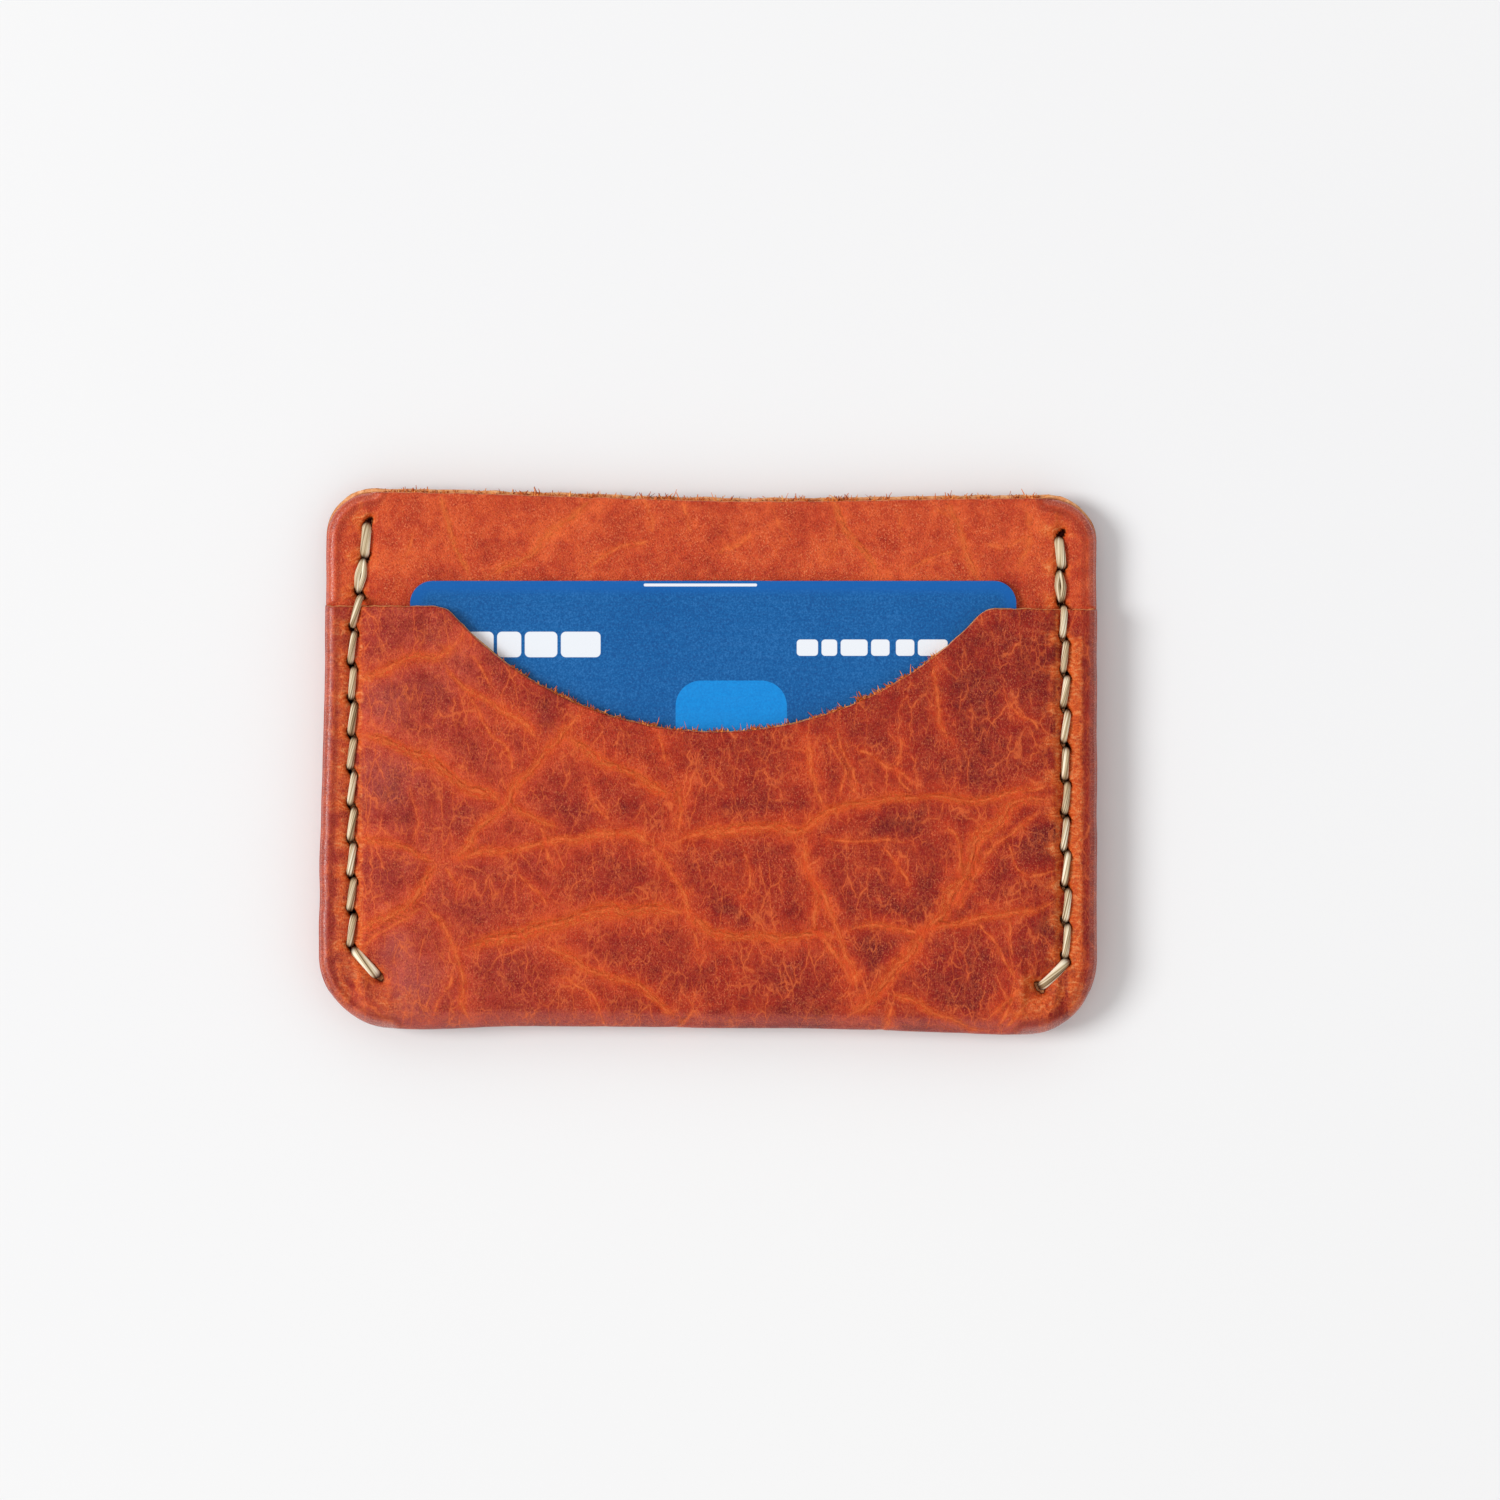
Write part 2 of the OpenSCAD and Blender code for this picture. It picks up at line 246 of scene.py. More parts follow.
def cell_edge(x, y, size, seed):
    """Distance to the nearest border between random cells of the given size."""
    table = 64
    jitter = np.random.default_rng(seed).uniform(-0.45, 0.45, (table, table, 2))
    column, row = np.floor(x / size).astype(int), np.floor(y / size).astype(int)
    nearest = np.full(x.shape, 1e9)
    second = nearest.copy()
    for i in (-1, 0, 1):
        for j in (-1, 0, 1):
            spot = jitter[(column + i) % table, (row + j) % table]
            dx = (column + i + 0.5 + spot[..., 0]) * size - x
            dy = (row + j + 0.5 + spot[..., 1]) * size - y
            away = np.hypot(dx, dy)
            second = np.minimum(second, np.maximum(nearest, away))
            nearest = np.minimum(nearest, away)
    return (second - nearest) / 2


def smooth_line(points, per_span=5):
    """A curve through the points (Catmull-Rom), as an array of points."""
    p = np.array(points, float)
    p = np.vstack((2 * p[0] - p[1], p, 2 * p[-1] - p[-2]))
    t = np.arange(per_span)[:, None] / per_span
    spans = []
    for a, b, c, d in zip(p[:-3], p[1:-2], p[2:-1], p[3:]):
        spans.append(0.5 * (2 * b + (c - a) * t + (2 * a - 5 * b + 4 * c - d) * t**2
                            + (3 * b - a - 3 * c + d) * t**3))
    return np.vstack(spans + [p[-2:-1]])


def line_distance(x, y, line):
    """Distance from points to a line, signed by its side, and how far along it the nearest point is."""
    start, step = line[:-1], np.diff(line, axis=0)
    length = np.hypot(step[:, 0], step[:, 1])
    dx, dy = x[:, None] - start[:, 0], y[:, None] - start[:, 1]
    t = np.clip((dx * step[:, 0] + dy * step[:, 1]) / length**2, 0, 1)
    away = np.hypot(dx - t * step[:, 0], dy - t * step[:, 1])
    nearest = away.argmin(1)
    rows = np.arange(len(x))
    turn = step[nearest, 0] * dy[rows, nearest] - step[nearest, 1] * dx[rows, nearest]
    along = np.concatenate(((0,), np.cumsum(length)))[nearest] + t[rows, nearest] * length[nearest]
    return np.where(turn < 0, -1, 1) * away[rows, nearest], along


# ---------------------------------------------------------------- the skin of the leather

FAR = 9.0  # stands for any distance beyond which a crease, a seam or an edge has no effect


def crease_fields(x, y, creases):
    """What creases do, and where a point lies on the nearest one: (depth, band, near, course, sure).

    band is 1 on a crease, near the distance to one, course the place along and across it, and sure
    falls to 0 where two creases are equally near.
    """
    wander_x = x + 0.45 * field(x, y, 7.0, 11) + 0.12 * field(x, y, 2.0, 13)
    wander_y = y + 0.45 * field(x, y, 7.0, 12) + 0.12 * field(x, y, 2.0, 14)
    depth, band, rival, near = (np.zeros(x.shape) for _ in range(4))
    along, across = np.zeros(x.shape), np.full(x.shape, FAR)
    near += FAR
    for number, (width, strength, points) in enumerate(creases):
        line = smooth_line(points)
        low, high = line.min(0) - 5, line.max(0) + 5
        close = (x > low[0]) & (x < high[0]) & (y > low[1]) & (y < high[1])
        if not close.any():
            continue
        aside, run = line_distance(wander_x[close], wander_y[close], line)
        away = np.abs(aside)
        share = run / np.hypot(*np.diff(line, axis=0).T).sum()
        fade = strength * mix(0.3, 1.0, smooth(0, 0.14, share) * smooth(0, 0.14, 1 - share))
        light = np.clip(fade * hump(away, 0.62 * width + 0.12), 0, 1)
        nearest = light > band[close]
        rival[close] = np.where(nearest, band[close], np.maximum(rival[close], light))
        along[close] = np.where(nearest, run + 37 * number, along[close])
        across[close] = np.where(nearest, aside, across[close])
        band[close] = np.maximum(band[close], light)
        cut = fade * width * (0.12 * hump(aside - 0.25, 0.35 * width) + 0.05 * hump(away, 1.4 * width)
                              - 0.06 * hump(aside + 0.45, 0.5 * width))
        depth[close] = np.maximum(depth[close], cut)
        near[close] = np.minimum(near[close], away + 3.0 * (1 - min(strength, 1.0)))
    course = np.dstack((along, across, np.zeros(x.shape)))
    return depth, band, near, course, smooth(0.3, 0.7, 1 - rival / np.maximum(band, 0.02))


def random_creases(low, high, count, seed):
    """Creases that wander over a rectangle, for leather whose creases nobody has placed."""
    rng = np.random.default_rng(seed)
    made = []
    for _ in range(count):
        place = rng.uniform(low, high)
        heading = math.radians(rng.choice((12, 60, -55, 95)) + rng.normal(0, 12))
        width = rng.choice((0.5, 0.8, 1.3), p=(0.5, 0.3, 0.2))
        points = [place]
        for _ in range(rng.integers(3, 6 if width < 1 else 10)):
            heading += rng.normal(0, 0.35)
            place = place + rng.uniform(2.5, 5) * np.array((math.cos(heading), math.sin(heading)))
            points.append(place)
        made.append((width, rng.uniform(0.4, 1.0), points))
    return made


def spot_fields(x, y, spots):
    """Sum of soft round spots, each given by its middle, its radius and its strength."""
    total = np.zeros(x.shape)
    wander_x = x + 0.8 * field(x, y, 5.0, 61)
    wander_y = y + 0.8 * field(x, y, 5.0, 62)
    for across, up, radius, strength in spots:
        total += strength * hump(np.hypot(wander_x - across, wander_y - up), 0.95 * radius)
    return total


def skin(x, y, creases, seed):
    """Relief of a leather face, its crease attributes and its course along the creases."""
    depth, band, near, course, sure = crease_fields(x, y, creases)
    wander_x = x + 0.7 * field(x, y, 4.0, seed + 21)
    wander_y = 0.75 * y + 0.7 * field(x, y, 4.0, seed + 22)
    border_away = cell_edge(wander_x, wander_y, 3.6, seed + 23)
    small = hump(border_away, 0.3) * smooth(-0.1, 0.7, field(x, y, 9.0, seed + 24))
    height = (0.05 * smooth(0.0, 3.5, near) - depth - 0.02 * small
              + 0.05 * field(x, y, 14.0, seed + 25) + 0.012 * field(x, y, 2.6, seed + 26))
    return height, {"crease": band, "cell": smooth(0.5, 4.0, near), "sure": sure}, course


# ---------------------------------------------------------------- stitching holes and seams


def holes(side):
    """Stitching holes of one seam, from the top, in the frame."""
    points = []
    for i in range(STRAIGHT_HOLES):
        drift = TOP_DRIFT[side][i] if i < len(TOP_DRIFT[side]) else 0.0
        points.append((side * (HALF_W - SEAM_INSET - drift),
                       FOLD_Y + FIRST_HOLE[side] - i * STITCH_PITCH))
    last = points[-1]
    points.append((last[0] - side * CORNER_STEP[0], last[1] + CORNER_STEP[1]))
    return np.array(points)


HOLES = {side: holes(side) for side in (-1, 1)}
SEAM_ZONE = HALF_W - 14  # beyond this x, a seam marks the leather


def seam_distance(x, y):
    """Distance from points to the nearer seam."""
    away = np.full(x.shape, FAR)
    for side, points in HOLES.items():
        close = side * x > SEAM_ZONE
        away[close] = np.abs(line_distance(x[close], y[close], points)[0])
    return away


def slit_direction(i):
    """Direction across the plane in which hole i is slit."""
    turn = math.radians(SLIT_TURNS[min(i, len(SLIT_TURNS) - 1)])
    return np.array((math.cos(turn), math.sin(turn)))


GLOW_SIDE = {-1: -0.8, 1: 0.9}  # the left holes stretch the leather outside them, the right ones inside


def seam_fields(x, y, first, last=99):
    """(groove, pit, glow) of the stitched seams, with pits at the holes from first to last."""
    groove, pit, glow = np.zeros(x.shape), np.zeros(x.shape), np.zeros(x.shape)
    for side, points in HOLES.items():
        close = (side * x > SEAM_ZONE) & (y < points[0, 1] + 4)
        px, py = x[close], y[close]
        away = np.abs(line_distance(px, py, points)[0])
        inward = side * (points[5, 0] - px)
        run = (points[0, 1] - py) % STITCH_PITCH / STITCH_PITCH
        lip = 0.95 + 0.35 * np.sin(math.pi * run)
        local_pit = np.zeros(px.shape)
        strip = (0.7 + 0.15 * side) * smooth(0.2, -0.6, inward) * smooth(-3.2, -1.8, inward)
        strip = strip * smooth(points[first, 1] + 1.5, points[first, 1] - 0.5, py) * (first > 0)
        lobes = 0.5 + 0.5 * np.cos(2 * math.pi * run)
        flame = lobes**2 * smooth(3.4, 0.6, inward) * smooth(-0.2, 0.3, inward)
        local_glow = np.maximum(np.maximum(0.35 * hump(away, 1.2), strip),
                                np.maximum(0.8 * flame, 0.8 * hump(inward - lip, 0.4)) * (away < 3.5))
        for i, hole in enumerate(points):
            if not first <= i <= last:
                continue
            dx, dy = px - hole[0], py - hole[1]
            slant = slit_direction(i)
            along = dx * slant[0] + dy * slant[1]
            across = dy * slant[0] - dx * slant[1]
            local_pit = np.maximum(local_pit, smooth(1.35, 0.7, np.hypot(along / 1.1, across / 0.55)))
            outside = side * dx + GLOW_SIDE[side]
            stretched = 1.1 * hump(np.hypot(0.8 * outside, 1.3 * (dy - 0.4)), 1.9)
            local_glow = np.maximum(local_glow, stretched)
        groove[close] = hump(away, 0.9) - 0.35 * hump(inward - lip - 0.6, 0.6) * (away < 4)
        pit[close] = local_pit
        glow[close] = local_glow
    return groove, pit, glow


def slot_rise(x, y, gap):
    """0 at the seams and 1 where a layer lies over the slots; gap is the distance to the side edge."""
    from_seam = np.clip(gap - 4.6, 0, None)
    from_stitch = 0.85 * np.clip(seam_distance(x, y) - 0.5, 0, None)
    rise = 1 - np.exp(-((np.minimum(from_seam, from_stitch) / 1.9) ** 1.3))
    past_card = np.maximum(CARD_LOW[0] - x, x - CARD_HIGH[0])
    return np.maximum(rise, smooth(2.4, 0.6, past_card))


# ---------------------------------------------------------------- outlines


def straight_width(u, y):
    """Distance from the middle to the left (u < 0) or right edge, without the outline's corners."""
    left = HALF_W + 0.05 - 0.5 * np.tanh((y + 2) / 15)
    return np.where(u < 0, left, HALF_W + 0.2) + 0.05 * field(y, np.sign(u) * 40, 8.0, 5)


def corner_cut(height, round_top):
    """How much narrower the outline is at a height above the fold, because of its round corners."""
    lower = np.clip(BOTTOM_R - height, 0, BOTTOM_R)
    cut = BOTTOM_R - np.sqrt(BOTTOM_R**2 - lower**2)
    if round_top:
        upper = np.clip(height - (HOLDER_H - TOP_R), 0, TOP_R)
        cut = cut + TOP_R - np.sqrt(TOP_R**2 - upper**2)
    return cut


def notched_top(x):
    """Height of a pocket's top edge above the fold: straight shoulders and a thumb notch."""
    arc_y = POCKET_H - NOTCH_DEPTH + NOTCH_R
    corner_y = POCKET_H - NOTCH_CORNER_R
    corner_x = math.sqrt((NOTCH_R + NOTCH_CORNER_R) ** 2 - (arc_y - corner_y) ** 2)
    tangent_x = corner_x * NOTCH_R / (NOTCH_R + NOTCH_CORNER_R)
    away = np.abs(x - NOTCH_X)
    arc = arc_y - np.sqrt(NOTCH_R**2 - np.minimum(away, tangent_x) ** 2)
    round_end = corner_y + np.sqrt(np.clip(NOTCH_CORNER_R**2 - (away - corner_x) ** 2, 0, None))
    top = np.where(away < tangent_x, arc, np.where(away < corner_x, round_end, POCKET_H))
    return top + 0.05 * field(x, 0 * x, 1.6, 31) + 0.04 * field(x, 0 * x, 0.7, 32)


def top_sag(x):
    """How far the panels' cut edge hangs down between its ends."""
    return 0.95 * np.exp(-(((x - 5) / 30) ** 2))


def bottom_droop(x):
    """How far the fold hangs down beside its two corners."""
    return 0.6 * np.exp(-(((x + 41) / 9) ** 2)) + 0.6 * np.exp(-(((x - 43) / 15) ** 2))


def side_inset(x, height, full, round_top):
    """Distance inwards from the burnished edge: the straight side and the arcs of its corners."""
    inset = full - np.abs(x)
    corners = [(BOTTOM_R, BOTTOM_R - height)]
    if round_top:
        corners.append((TOP_R, height - (HOLDER_H - TOP_R)))
    for radius, beyond in corners:
        past = np.abs(x) - (full - radius)
        arc = np.where(past > 0, radius - np.hypot(past, beyond), np.hypot(past, radius - beyond))
        inset = np.where(beyond > 0, arc, inset)
    return np.maximum(inset, 0)


def rounding(inset, radius):
    """How far a face drops where its edge is rounded to a radius."""
    left = np.clip(radius - inset, 0, radius)
    return radius - np.sqrt(radius**2 - left**2)


def settle(points):
    """Turns the holder's soft parts by the small angle at which it lies."""
    turned = points.copy()
    x, y = points[..., 0], points[..., 1]
    turned[..., 1] -= TILT * x * (0.3 + 0.7 * np.clip(np.abs(y) / (HOLDER_H / 2), 0, 1) ** 2)
    return turned


EDGE_STEPS = (0.0, 0.08, 0.2, 0.36, 0.56, 0.8, 1.1, 1.45)


def columns(fine, coarse, fine_to=9.5):
    """Column positions from -1 to 1 across the width, close together near the side edges."""
    near = list(EDGE_STEPS) + list(np.arange(EDGE_STEPS[-1] + fine, fine_to, fine))
    middle = np.linspace(near[-1], HALF_W, int((HALF_W - near[-1]) / coarse) + 1)[1:]
    half = 1 - np.array(near + list(middle)) / HALF_W
    return np.concatenate((-half, half[:-1][::-1]))


def rows_down(top, bottom, step, edge=EDGE_STEPS[:6]):
    """Heights from a cut top edge down to bottom, close together at the edge."""
    near = top - np.array(edge)
    return np.concatenate((near, np.linspace(near[-1], bottom, int((near[-1] - bottom) / step) + 1)[1:]))


# ---------------------------------------------------------------- meshes


def new_piece(name, vertices, faces, attributes, material, node):
    """Makes a shaded mesh of the holder, in metres, in place of a CAD node or, without one, beside them."""
    mesh = bpy.data.meshes.new(name)
    mesh.from_pydata((np.asarray(vertices) * MM).tolist(), [], faces)
    mesh.update()
    for key, values in attributes.items():
        values = np.asarray(values, dtype=np.float32)
        kind = "FLOAT_VECTOR" if values.ndim == 2 else "FLOAT"
        layer = mesh.attributes.new(key, kind, "POINT")
        layer.data.foreach_set("vector" if values.ndim == 2 else "value", values.ravel())
    mesh.polygons.foreach_set("use_smooth", [True] * len(mesh.polygons))
    piece = bpy.data.objects.new(name, mesh)
    bpy.context.scene.collection.objects.link(piece)
    mesh.materials.append(material)
    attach(piece, "holder")
    if node:
        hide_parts(node)
    return piece


def border(rows, cols):
    """Row and column numbers round the border of a grid, as two arrays."""
    r = np.concatenate((np.zeros(cols - 1), np.arange(rows - 1), np.full(cols - 1, rows - 1),
                        np.arange(rows - 1, 0, -1)))
    c = np.concatenate((np.arange(cols - 1), np.full(rows - 1, cols - 1), np.arange(cols - 1, 0, -1),
                        np.zeros(rows - 1)))
    return r.astype(int), c.astype(int)


def grid_faces(numbers, flip=False):
    """Four-sided faces between the numbered points of a grid."""
    a, b, c, d = numbers[:-1, :-1], numbers[1:, :-1], numbers[1:, 1:], numbers[:-1, 1:]
    order = (d, c, b, a) if flip else (a, b, c, d)
    return np.stack([corner.ravel() for corner in order], axis=1).tolist()


def keep_every(count, step):
    """Every step-th number below count, and always the last."""
    return np.unique(np.append(np.arange(0, count, step), count - 1))


WALL_RINGS = (0.3, 0.7)
FLESH_STEP = 3  # rows and columns of the grain face for each one of the flesh face


def leather_layer(name, grain, flesh, fields, sheet, course, raw_wall, material, node):
    """A closed layer of leather: a dense grain face, a coarse flesh face and the edge between them.

    grain and flesh are grids of points, and fields holds the grain face's attributes on the same grid.
    sheet is where each point lies on the flat leather, course where it lies along and across the
    nearest crease, and raw_wall says how raw (1) or burnished (0) a cut edge there is.
    """
    grain, flesh = settle(grain), settle(flesh)
    rows, cols = grain.shape[:2]
    r, c = border(rows, cols)
    keep = np.ix_(keep_every(rows, FLESH_STEP), keep_every(cols, FLESH_STEP))
    kept = flesh[keep]

    # The edge bulges where it is burnished and is rough where it is raw.
    top, under, raw = grain[r, c], flesh[r, c], raw_wall[r, c]
    outward = np.cross(top - under, np.roll(top, -1, 0) - np.roll(top, 1, 0))
    outward /= np.linalg.norm(outward, axis=1)[:, None] + 1e-9
    rough = 0.05 * field(np.arange(len(r)) * 0.4, np.zeros(len(r)), 1.1, 77)
    bulge = (mix(0.14, 0.02, raw) + rough * raw)[:, None]
    rings = [mix(top, under, part) + outward * bulge for part in WALL_RINGS]
    vertices = np.vstack([grain.reshape(-1, 3), *rings, kept.reshape(-1, 3)])

    # Numbers of the points, in the same order, and the faces between them.
    grain_numbers = np.arange(rows * cols).reshape(rows, cols)
    flesh_numbers = np.arange(kept.size // 3).reshape(kept.shape[:2]) + rows * cols + len(r) * len(rings)
    faces = grid_faces(grain_numbers) + grid_faces(flesh_numbers, flip=True)
    ring = grain_numbers[r, c]
    for k in range(len(rings)):
        below = rows * cols + k * len(r) + np.arange(len(r))
        faces += np.stack((ring, np.roll(ring, -1), np.roll(below, -1), below), axis=1).tolist()
        ring = below
    coarse = np.full((rows, cols), -1)
    coarse[keep] = flesh_numbers
    held = coarse[r, c][0]
    for near, far, ahead in zip(ring, np.roll(ring, -1), np.roll(coarse[r, c], -1)):
        faces.append((near, far, held))
        if ahead >= 0:
            faces.append((far, ahead, held))
            held = ahead

    def spread(on_grain, on_wall, on_flesh):
        """One value for each point, from those of the two faces and of the edge between them."""
        on_flesh = np.full(kept.size // 3, on_flesh)
        return np.concatenate([on_grain.ravel(), *[on_wall] * len(rings), on_flesh])

    attributes = {key: spread(value, FAR * raw if key == "inset" else 0.3 * value[r, c], 0.0)
                  for key, value in fields.items()}
    attributes["raw"] = spread(np.zeros((rows, cols)), raw, 1.0)
    for key, grid in (("sheet", np.dstack((sheet, np.zeros((rows, cols))))), ("course", course)):
        attributes[key] = np.column_stack([spread(grid[..., k], grid[r, c, k], 0.0) for k in range(3)])
        attributes[key][flesh_numbers.ravel()] = grid[keep].reshape(-1, 3)
    depth = spread(np.zeros((rows, cols)), np.zeros(len(r)), -LEATHER)
    for k, part in enumerate(WALL_RINGS):
        depth[rows * cols + k * len(r):][:len(r)] = -part * LEATHER
    attributes["sheet"][:, 2] = depth
    return new_piece(name, vertices, faces, attributes, material, node)


def layer_faces(name, rise):
    """Lower and upper face of a layer where the slots' rise is 0 to 1."""
    seam, middle = LAYER_Z[name]
    return mix(seam, middle, rise), mix(seam + SEAM_T, middle + LEATHER, rise)


# ---------------------------------------------------------------- the three layers of leather

FOLD_STEPS = 18
FOLD_RUN = 11.5  # length of leather round the fold
FLESH_FOLD = 2.0  # depth of the fold's inner face
NOTCH_REACH = 14.0  # below this height the rows no longer follow the notch
BURNISH_R = 1.2  # rounding of the side edges
CUT_R = 0.25  # rounding of the cut top edges
GROOVE_DEPTH = 0.5
PIT_DEPTH = 1.3
BACK_CLEARANCE = 0.3  # keeps the relief of the back above the table
U_COLUMNS = columns(0.32, 0.44)


def wrap_rows():
    """Height above the fold and turn of the leather for each row, from the front's top to the back's."""
    front = rows_down(POCKET_H, FOLD_DEPTH, 0.4)
    rear = rows_down(POCKET_H, FOLD_DEPTH, 0.8)[::-1]
    turn = np.radians(np.linspace(90, -90, FOLD_STEPS + 1)[1:-1])
    height = np.concatenate((front, FOLD_DEPTH * (1 - np.cos(turn)), rear))
    turns = np.concatenate((np.full(len(front), math.pi / 2), turn, np.full(len(rear), -math.pi / 2)))
    return height, turns


def wrap_levels(rise):
    """z of the wrap's outer faces, front and back, and of its inner faces, at the slots' rise."""
    back_low, back_high = layer_faces("rear_pocket", rise)
    front_low, front_high = layer_faces("front_pocket", rise)
    return front_high, back_low, front_low, back_high


def outer_wrap(material):
    row_height, row_turn = wrap_rows()
    u, height = np.meshgrid(U_COLUMNS, row_height)
    turn = np.meshgrid(U_COLUMNS, row_turn)[1]
    full = straight_width(u, FOLD_Y + height)
    x = u * (full - corner_cut(height, False))
    top = notched_top(x)
    shift = (top - POCKET_H) * smooth(NOTCH_REACH, POCKET_H, height)
    flat_y = FOLD_Y + height + shift
    y = flat_y - bottom_droop(x) * smooth(14, 3, height)
    inset = side_inset(x, height, full, False)
    to_cut = np.where(np.abs(turn) > 1.5, FOLD_Y + top - y, FAR)

    held_y = np.maximum(y, FOLD_Y + FOLD_DEPTH)
    front_high, back_low, front_low, back_high = wrap_levels(slot_rise(x, held_y, full - np.abs(x)))
    front_high = front_high - 0.45 * (1 - smooth(2, 10, height))
    middle, half = (front_high + back_low) / 2, (front_high - back_low) / 2
    normal_y, normal_z = -np.cos(turn), np.sin(turn)

    run = FOLD_RUN / math.pi * (math.pi / 2 - turn)
    above_fold = flat_y - FOLD_Y - FOLD_DEPTH
    v = np.where(turn > 1.5, flat_y, FOLD_Y + FOLD_DEPTH - run - np.where(turn < -1.5, above_fold, 0))
    front = smooth(-0.8, 0.6, turn)
    back_creases = random_creases((-HALF_W, FOLD_Y - 70), (HALF_W, FOLD_Y - 5), 90, 210)
    relief, marks, course = skin(x, v, POCKET_CREASES + back_creases, 100)
    # shade: the leather's dark spots, plus painted shade that darkens the front towards its right side
    shade = front * (spot_fields(x, y, DARK_SPOTS) + 0.6 * smooth(-10, 45, x) - 0.15)
    # painted sheen: pale spots and a paler left side stand in for highlights of the studio light
    painted_sheen = front * (spot_fields(x, y, PAINTED_SHEEN_SPOTS) + 0.35 * smooth(5, -50, x))
    relief = mix(np.minimum(relief - BACK_CLEARANCE, 0), relief, smooth(-1.2, -0.2, turn))
    groove, pit, glow = seam_fields(x, y, STITCHES_ON_PANEL + 1)
    quiet = 1 - 0.75 * hump(inset, 3.0)
    lift = relief * quiet - GROOVE_DEPTH * groove - PIT_DEPTH * pit
    rounded = rounding(inset, BURNISH_R) + rounding(to_cut, CUT_R)
    grain = np.dstack((x, y + lift * normal_y, middle + (half + lift - rounded) * normal_z))

    inner_y = np.where(np.abs(turn) > 1.5, y, FOLD_Y + FOLD_DEPTH - FLESH_FOLD * np.cos(turn))
    inner_x = u * (full - corner_cut(inner_y - FOLD_Y, False) * (height < BOTTOM_R))
    inner_middle, inner_half = (front_low + back_high) / 2, (front_low - back_high) / 2
    proud = 0.18 * smooth(1.2, 0, to_cut) * (1 + 0.5 * field(x, turn, 1.0, 41))
    flesh = np.dstack((inner_x, inner_y + proud, inner_middle + inner_half * normal_z))
    glow = np.maximum(glow, front * spot_fields(x, y, STRETCHED_SPOTS))
    # painted highlight along the rounded fold
    painted_sheen = painted_sheen + 1.1 * hump(turn - 0.9, 0.35)
    fields = dict(marks, glow=glow, pit=pit, inset=inset, shade=shade, painted_sheen=painted_sheen)
    raw_wall = (to_cut < FAR) * smooth(0.02, 0.0, to_cut) * smooth(0, 0.6, inset)
    return leather_layer("outer_wrap_leather", grain, flesh, fields, np.dstack((x, v)), course, raw_wall,
                         material, "outer_wrap")


def tall_panel(name, side, creases, seed, grain_turn, lift_top, material, node):
    """A tall panel with its grain face to the front (side 1) or to the back (side -1)."""
    fine_to, middle_to, foot = HOLDER_H - 19, HOLDER_H - 36, PANEL_FOOT - 2.2
    rows = np.concatenate((rows_down(HOLDER_H, fine_to, 0.4), rows_down(fine_to, middle_to, 0.6, (0,))[1:],
                           rows_down(middle_to, foot, 1.5, (0,))[1:]))
    u, height = np.meshgrid(U_COLUMNS[::side], rows)
    full = straight_width(u, FOLD_Y + height) + 0.05 * (side < 0)
    x = u * (full - corner_cut(height, True))
    upper = smooth(POCKET_H - 4, HOLDER_H, height)
    y = FOLD_Y + height + upper * (lift_top - top_sag(x) + 0.07 * field(x, 0 * x, 3.0, seed + 50))
    inset = side_inset(x, height, full, True)
    to_cut = np.minimum(HOLDER_H - height, FAR)
    low, high = layer_faces(node, slot_rise(x, y, full - np.abs(x)))

    relief, marks, course = skin(x, y, creases, seed)
    shown = smooth(POCKET_H - 1.5, POCKET_H + 1.0, height)
    under_card = np.clip(shown + 0.6 * smooth(11, 8, np.abs(y - 12)) * smooth(30, 26, np.abs(x)), 0, 1)
    groove, pit, glow = seam_fields(x, y, 0, STITCHES_ON_PANEL)
    relief = np.minimum(relief - 0.15, 0.08) * under_card * (1 - 0.75 * hump(inset, 3.0))
    lift = (relief - (GROOVE_DEPTH * groove + PIT_DEPTH * pit) * shown
            - rounding(inset, BURNISH_R) * shown - rounding(to_cut, CUT_R))
    proud = 0.16 * smooth(1.2, 0, to_cut) * (1 + 0.5 * field(x, 0 * x, 1.0, seed + 51))
    outer, inner = (high, low) if side > 0 else (low, high)
    grain = np.dstack((x, y, outer + side * lift))
    flesh = np.dstack((x, y + proud, inner))
    glow = np.maximum(glow, (side > 0) * spot_fields(x, y, STRETCHED_SPOTS))
    fields = dict(marks, cell=0.4 * marks["cell"], glow=glow * shown, pit=pit * shown,
                  inset=mix(FAR, inset, shown), shade=0 * x - 0.1, painted_sheen=0 * x)
    raw_wall = smooth(HOLDER_H - 5.0, HOLDER_H - 1.0, height)
    c, s = math.cos(math.radians(grain_turn)), math.sin(math.radians(grain_turn))
    sheet = np.dstack((c * x - s * y + 300 * side, s * x + c * y + 20))
    return leather_layer(name, grain, flesh, fields, sheet, course, raw_wall, material, node)


# ---------------------------------------------------------------- the seam threads

STRAND_HALF_W, STRAND_HALF_H = 0.48, 0.42
BACK_HALF_H = 0.30  # the back strands are pressed flat against the table
STRAND_SIDES = 28
STRAND_PLIES = 3
STRAND_TWIST = 2.8  # radians along one stitch
STITCH_SINK = {1: 0.12, -1: 0.27}  # how far a front and a back stitch lie under the leather's level
DOUBLED_STITCH = 1  # the second stitch is sewn twice
THREAD_MIDDLE_Z = 3.4  # the strands of both faces meet at this height in the holes


